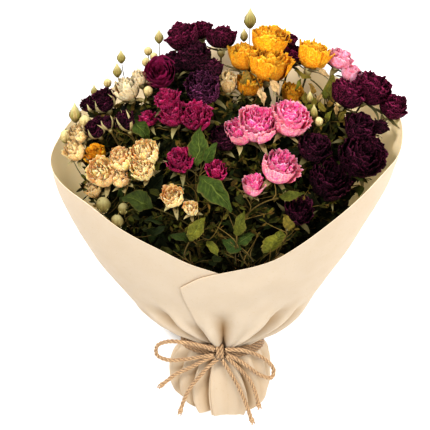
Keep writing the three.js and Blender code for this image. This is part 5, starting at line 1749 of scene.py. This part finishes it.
def add_bud(skin, seen, curve):
    """A closed bud at the end of its stem: a ribbed drop with sepals drawn to a point."""
    generator = generator_for(f"bud {seen}")
    rounded = seen in ROUND_BUDS
    shape = BUD_SHAPES["round" if rounded else "pointed"]
    growth = BUD_GROWTH.get(seen, 1.0)
    bud_radius = BUD_RADIUS * growth
    long = BUD_LONG * growth * shape["long"]
    heading = tangent_at(curve, 0.98)
    base = curve.at([1.0])[0] - heading * BUD_LONG
    parts = np.linspace(0.0, 1.0, BUD_ROWS)
    points = base + heading * (parts * long)[:, None]
    angles = round_angles(BUD_SIDES)
    ring = rings_round(points, angles)
    ribs = 1.0 + shape["ribs"] * np.cos(SEPALS * angles)[None, :] * np.sin(math.pi * parts)[:, None]
    radii = bud_radius * shape["girth"] * smooth_value(shape["profile"], parts)[:, None] * ribs
    surface = points[:, None] + ring * radii[..., None]
    surface = surface + ring * (shape["lumps"] * crumple(surface, 2.2, 91))[..., None]
    # Buds low in the picture lie in shade and are painted darker, as painted shade; they are greener too.
    shaded = seen[1] > SHADED_BUDS_FROM_V
    green = generator.uniform(0.0, 0.3) if rounded and not shaded else generator.uniform(0.4, 0.9)
    marks = marks_for(BUD_ROWS, BUD_SIDES, angles / (2 * math.pi), parts[:, None], green,
                      0.5 if shaded else 1.0)
    skin.grid(surface, marks, BUD, closed=True)
    _, normals, binormals = frames_along(points)
    part = np.linspace(0.0, 1.0, BUD_SEPAL_ROWS)[:, None]
    half = BUD_SEPAL_WIDE * growth * np.sin(math.pi * (0.15 + 0.85 * part))
    side = np.array([-1.0, 0.0, 1.0])[None]
    for sepal in range(SEPALS):
        angle = 2 * math.pi * (sepal + 0.5) / SEPALS
        out = normals[4] * math.cos(angle) + binormals[4] * math.sin(angle)
        along = np.cross(heading, out)
        rise = np.linspace(0.0, generator.uniform(0.8, 1.1) * shape["sepals"], BUD_SEPAL_ROWS)
        beside = smooth_value(shape["profile"], np.minimum(rise, 0.97))
        off = bud_radius * BUD_SEPAL_OVER * beside + BUD_SEPAL_OFF
        spine = base + heading * (rise * long)[:, None] + out * off[:, None]
        strip = spine[:, None] + along * (side * half)[..., None]
        strip = strip - out * (BUD_SEPAL_TROUGH * np.abs(side) * half)[..., None]
        skin.grid(strip, marks_for(BUD_SEPAL_ROWS, 3, 0.1, 0.2 + 0.8 * part, 1.0, 0.9), BUD)


def branch_off(spray, main, random, end, arriving, radius):
    """A side stem from a random place high on the main stem."""
    part = mix(BRANCHES_FROM, 1.0, random())
    start = main.at([part])[0]
    curve = side_stem(start, end, tangent_at(main, part), arriving, radius, spray["name"])
    take_room(curve, radius, spray["name"])
    return curve


# The radii at the two ends of each kind of stem.
MAIN_RADII = (STEM_RADIUS * 0.95, STEM_RADIUS * 0.55)
BRANCH_RADII = (BRANCH_RADIUS, BRANCH_RADIUS * 0.85)
BUD_STEM_RADII = (BUD_STEM_RADIUS, BUD_STEM_RADIUS * 0.7)
PETIOLE_RADII = (0.8, 0.55)
MAIN_SIDES = 10
BRANCH_SIDES = 8
PETIOLE_SIDES = 7
BUD_STEM_SIDES = 6
BUD_STEM_POINTS = 60
STEM_STOPS_AT = 0.9
BUDS_TURN_UP = 0.4
PETIOLE_REACH = 1


def spray_stems(spray):
    """Grows one spray's stems, calyxes and buds; returns its skin, its main stem and all its stems."""
    skin = Skin()
    name = spray["name"]
    random = random_for(name)
    main = main_stem(spray)
    take_room(main, STEM_RADIUS, name)
    add_stem(skin, main, *MAIN_RADII, MAIN_SIDES, name)
    stems = [main]
    for head in spray["heads"]:
        base, up = head_frame(head)[:2]
        seat = base - up * GAP
        curve = branch_off(spray, main, random, seat, up, CALYX_REACH)
        add_stem(skin, curve, *BRANCH_RADII, BRANCH_SIDES, f"{name} {head['seen']}")
        add_calyx(skin, head, seat)
        stems.append(curve)
    for seen in spray.get("buds", []):
        rise = unit(AXIS + SEEN_UP * BUDS_TURN_UP)
        end = bud_place(seen) + rise * BUD_LONG / 2
        curve = branch_off(spray, main, random, end, rise, BUD_REACH)
        shorter = even_points(curve, BUD_STEM_POINTS)
        shorter = shorter[np.linalg.norm(shorter - end, axis=1) > BUD_LONG * STEM_STOPS_AT]
        add_stem(skin, SmoothCurve(shorter), *BUD_STEM_RADII, BUD_STEM_SIDES, f"{name} {seen}")
        add_bud(skin, seen, curve)
        stems.append(curve)
    return skin, main, stems


def spray_leaves(spray, skin, main, stems):
    """Grows the larger leaves of one spray, each on a petiole from the main stem."""
    random = random_for(f"{spray['name']} leaves")
    for leaf in spray.get("leaves", []):
        base, tip = leaf_places(leaf)
        part = mix(LEAVES_FROM, LEAVES_TO, random())
        start, leaving = main.at([part])[0], tangent_at(main, part)
        curve = side_stem(start, base, leaving, unit(tip - base), PETIOLE_REACH, spray["name"])
        take_room(curve, PETIOLE_REACH, spray["name"])
        add_stem(skin, curve, *PETIOLE_RADII, PETIOLE_SIDES, f"petiole {leaf['seen']}")
        u, v = leaf["seen"]
        add_leaf(skin, base, tip, leaf["wide"], f"{u},{v}", leaf["dry"], leaf.get("light", 1.0))
        stems.append(curve)


# Fine foliage fills the bouquet below its heads, each twig growing from the nearest stem below it.

# The outline, in the picture, of the room that the foliage fills.
FOLIAGE_OUTLINE = [(92, 112), (118, 100), (150, 96), (166, 66), (196, 62), (214, 82), (232, 92),
                   (262, 100), (300, 104), (330, 104), (352, 104), (384, 126), (394, 146), (378, 184),
                   (346, 216), (306, 246), (262, 262), (216, 273), (170, 258), (126, 236), (96, 212),
                   (82, 190), (80, 160)]
TWIGS = 620
TWIG_DEPTHS = (5.0, 46.0)
TWIG_REACH = 4.0
TWIG_OFF_STEM = 8.0
TWIG_RADII = (0.45, 0.22)
TWIG_STRAW = 0.2
TWIG_BOW = 0.12
LEAFLETS_ON_TWIG = 15
TWIG_LEAVES_FROM = 0.25
TWIG_DRYNESS = (0.05, 0.9)
WISPS = 150
WISP_DEPTHS = (-2.0, 9.0)
WISP_REACH = 2.0
WISP_OFF_STEM = 26.0
WISP_RADII = (0.42, 0.22)
WISP_STRAW = (0.3, 1.0)
WISP_BOW = 0.06
HUSKS_ON_WISP = 5
WISP_HUSKS_FROM = 0.72
HUSK_SIZES = (3.0, 6.5)
HUSK_DRYNESS = (0.5, 1.0)
LEAFLET_WIDE = (0.36, 0.6)
LEAFLET_LIGHT = (0.25, 1.0)
LEAFLET_CURL = (-0.4, 0.4)
DEPTHS_CROWD = 0.8
TWIG_POINTS = 7
TWIG_SIDES = 4
SHEET_KEEPS_OFF = 0.9

# Larger single leaves on twigs of their own. The backing leaves, painted nearly black as painted shade
# behind the rest, keep the sheet from showing between them, and the leaves behind fill the cone down to its
# back.
# For each kind: how many, how far below the dome, how far from their stem at least, the twig's two
# radii and how straw-coloured it is, the leaf's length, its width for that, how dry it is and how much
# painted light it keeps, how much of that painted light is left to the deepest (the rest is painted shade),
# its rows of points, and whether its tip must stay in the cone.
LARGE_LEAVES = {
    "shaded": dict(draws="shaded leaves", count=120, depths=(8.0, 30.0), off=14.0,
                   twig=(0.55, 0.35, 0.1), long=(9.0, 19.0), wide=(0.42, 0.6), dry=(0.0, 0.55),
                   light=(0.4, 1.1), deeper=(0.6, 0.2), rows=9, tip_in_cone=False),
    "backing": dict(draws="backing leaves", count=230, depths=(24.0, 60.0), off=10.0,
                    twig=(0.6, 0.4, 0.0), long=(20.0, 32.0), wide=(0.55, 0.75), dry=(0.0, 0.4),
                    light=(0.08, 0.3), deeper=(1.0, 1.0), rows=8, tip_in_cone=True),
    "behind": dict(draws="leaves behind", count=330, depths=(56.0, 112.0), off=10.0,
                   twig=(0.6, 0.4, 0.2), long=(16.0, 28.0), wide=(0.5, 0.7), dry=(0.1, 0.8),
                   light=(0.3, 0.7), deeper=(1.0, 1.0), rows=8, tip_in_cone=True),
}
LARGE_LEAF_REACH = 9.0
LARGE_LEAF_COLUMNS = 7
LARGE_LEAF_SPRAWL = 0.9


def inside_outline(u, v, outline):
    inside = False
    for (u1, v1), (u2, v2) in zip(outline, outline[1:] + outline[:1]):
        if (v1 > v) != (v2 > v) and u < (u2 - u1) * (v - v1) / (v2 - v1) + u1:
            inside = not inside
    return inside


def inside_sheet(place):
    """Whether a place lies well within the cone of paper."""
    across, _, ahead, half, depth, _ = sheet_room(place)
    return math.hypot(across / half, ahead / depth) < SHEET_KEEPS_OFF


def twig_curve(start, end, leaving, generator, bowed=TWIG_BOW):
    reach = np.linalg.norm(end - start)
    bow = generator.normal(size=3) * bowed * reach
    return BentCurve(start, start + leaving * 0.35 * reach + bow, mix(start, end, 0.7) + bow, end)


def add_twig_stem(skin, curve, thick, thin, straw, generator):
    points = kept_inside(even_points(curve, TWIG_POINTS))
    marks = marks_for(TWIG_POINTS, 1, 0.4, generator.uniform(), straw, 0.0)
    add_tube(skin, points, np.linspace(thick, thin, TWIG_POINTS), TWIG_SIDES, marks, STEM)


def add_leaflets(skin, curve, count, first, sizes, dryness, light, generator):
    """Leaflets set at random angles along a twig."""
    for leaflet in range(count):
        part = mix(first, 1.0, (leaflet + generator.uniform()) / count)
        place = kept_inside(curve.at([part])[0])
        toward = tangent_at(curve, part) * generator.uniform(0.3, 1.0)
        toward = unit(toward + unit(generator.normal(size=3)))
        long = generator.uniform(*sizes)
        face = unit(TO_EYE + 0.9 * generator.normal(size=3))
        wide = long * generator.uniform(*LEAFLET_WIDE)
        dry = mix(*dryness, generator.uniform() ** 1.1)
        own_light = light * generator.uniform(*LEAFLET_LIGHT)
        curl = generator.uniform(*LEAFLET_CURL)
        add_leaflet(skin, place, toward, face, long, wide, dry, own_light, curl)


# A twig springs from the place on a stem that is nearest, counting a place as farther off where it
# lies too high for the twig to rise from it, or too close.
TWIGS_SPRING_FROM = (0.3, 0.96)
PLACES_ON_STEM = 24
RISE_OF_TWIG = 10.0
TOO_HIGH_COSTS = 3.0
TOO_CLOSE_COSTS = 40.0


class Growth:
    """Where new twigs can spring from: places along every stem, and the spray that owns each."""

    def __init__(self, grown):
        self.skins = [skin for skin, _, _ in grown]
        parts = np.linspace(*TWIGS_SPRING_FROM, PLACES_ON_STEM)
        stems = [(owner, stem) for owner, (_, _, all_stems) in enumerate(grown) for stem in all_stems]
        self.owners = [owner for owner, _ in stems for _ in parts]
        self.places = np.concatenate([stem.at(parts) for _, stem in stems])
        self.headings = [tangent_at(stem, part) for _, stem in stems for part in parts]
        self.heights = (self.places - NECK) @ AXIS

    def root_for(self, end, least):
        """The skin, place and heading of the stem that a twig with this end springs from."""
        reach = np.linalg.norm(self.places - end, axis=1)
        above = np.maximum(self.heights - (end - NECK) @ AXIS + RISE_OF_TWIG, 0.0)
        too_close = np.where(reach < least, TOO_CLOSE_COSTS, 0.0)
        nearest = int(np.argmin(reach + TOO_HIGH_COSTS * above + too_close))
        return self.skins[self.owners[nearest]], self.places[nearest], self.headings[nearest]


HEAD_CLEAR_PART = 0.85
HEAD_FRONT_PART = 0.1


def covers_a_head(seen, near, reach):
    """Whether something this big would hide a flower head from the eye."""
    for spray in SPRAYS:
        for head in spray["heads"]:
            off = math.hypot(seen[0] - head["seen"][0], seen[1] - head["seen"][1]) * MM_PER_PIXEL
            front = dome_near(head["seen"]) + head.get("lift", 0) - HEAD_FRONT_PART * head["wide"]
            if off < HEAD_CLEAR_PART * head["wide"] / 2 + reach and near > front:
                return True
    return False


def random_end(depths, reach, generator):
    """A random place in the foliage's room, and how deep it lies from 0 to 1."""
    spots = np.array(FOLIAGE_OUTLINE)
    while True:
        seen = generator.uniform(spots.min(axis=0), spots.max(axis=0))
        deep = generator.uniform() ** DEPTHS_CROWD
        near = dome_near(seen) - mix(*depths, deep)
        end = seen_at(seen, near)
        in_room = inside_outline(*seen, FOLIAGE_OUTLINE) and inside_sheet(end)
        if in_room and not covers_a_head(seen, near, reach):
            return end, deep


def add_foliage(growth):
    """Leafy twigs; the deeper one lies, the larger its leaflets and the darker they are painted, as painted
    shade.
    """
    generator = generator_for("foliage")
    for _ in range(TWIGS):
        end, deep = random_end(TWIG_DEPTHS, TWIG_REACH, generator)
        skin, start, leaving = growth.root_for(end, TWIG_OFF_STEM)
        curve = twig_curve(start, end, leaving, generator)
        add_twig_stem(skin, curve, *TWIG_RADII, TWIG_STRAW, generator)
        sizes = (2.6 + 2.5 * deep, 6.5 + 5.0 * deep)
        # Painted shade: the leaflets of deeper twigs are painted darker.
        light = 0.75 - 0.62 * deep
        add_leaflets(skin, curve, LEAFLETS_ON_TWIG, TWIG_LEAVES_FROM, sizes, TWIG_DRYNESS, light, generator)


def add_large_leaves(growth, name, kind):
    generator = generator_for(kind["draws"])
    for number in range(kind["count"]):
        end, deep = random_end(kind["depths"], LARGE_LEAF_REACH, generator)
        skin, start, leaving = growth.root_for(end, kind["off"])
        curve = twig_curve(start, end, leaving, generator)
        add_twig_stem(skin, curve, *kind["twig"], generator)
        long = generator.uniform(*kind["long"])
        toward = unit(unit(end - start) + LARGE_LEAF_SPRAWL * unit(generator.normal(size=3)))
        tip = end + toward * long
        in_cone = inside_outline(*pixel_of(tip)[:2], FOLIAGE_OUTLINE) and inside_sheet(tip)
        if in_cone or not kind["tip_in_cone"]:
            wide = long * generator.uniform(*kind["wide"])
            dry = generator.uniform(*kind["dry"])
            light = mix(*kind["deeper"], deep) * generator.uniform(*kind["light"])
            add_leaf(skin, end, tip, wide, f"{name} {number}", dry, light, kind["rows"], LARGE_LEAF_COLUMNS)


def add_wisps(growth):
    """Thin straw-coloured twigs that reach the light, with a few dry husks at their tips."""
    generator = generator_for("wisps")
    for _ in range(WISPS):
        end, _ = random_end(WISP_DEPTHS, WISP_REACH, generator)
        skin, start, leaving = growth.root_for(end, WISP_OFF_STEM)
        curve = twig_curve(start, end, leaving, generator, bowed=WISP_BOW)
        straw = generator.uniform(*WISP_STRAW)
        add_twig_stem(skin, curve, *WISP_RADII, straw, generator)
        add_leaflets(skin, curve, HUSKS_ON_WISP, WISP_HUSKS_FROM, HUSK_SIZES, HUSK_DRYNESS, 1.0, generator)


# Assembly

grown_sprays = [spray_stems(spray) for spray in SPRAYS]
for spray, (spray_skin, spray_main, spray_all) in zip(SPRAYS, grown_sprays):
    spray_leaves(spray, spray_skin, spray_main, spray_all)
twig_room = Growth(grown_sprays)
add_foliage(twig_room)
for leaf_name, leaf_kind in LARGE_LEAVES.items():
    add_large_leaves(twig_room, leaf_name, leaf_kind)
add_wisps(twig_room)
for spray, (spray_skin, _, _) in zip(SPRAYS, grown_sprays):
    spray_skin.made(spray["name"].replace("spray", "greens"), GREENS, [spray["name"]], "stems_and_leaves")

bunches = {}
for spray in SPRAYS:
    for flower in spray["heads"]:
        bunches.setdefault(flower["node"], []).append(flower)
for node, flowers in bunches.items():
    petals_skin = Skin()
    for flower in flowers:
        add_head(petals_skin, flower)
    flower_colour = flowers[0]["colour"]
    petals_name = node.replace("bloom", "petals")
    petals_skin.made(petals_name, [PETALS[flower_colour]], [node], PETAL_SLOTS[flower_colour])
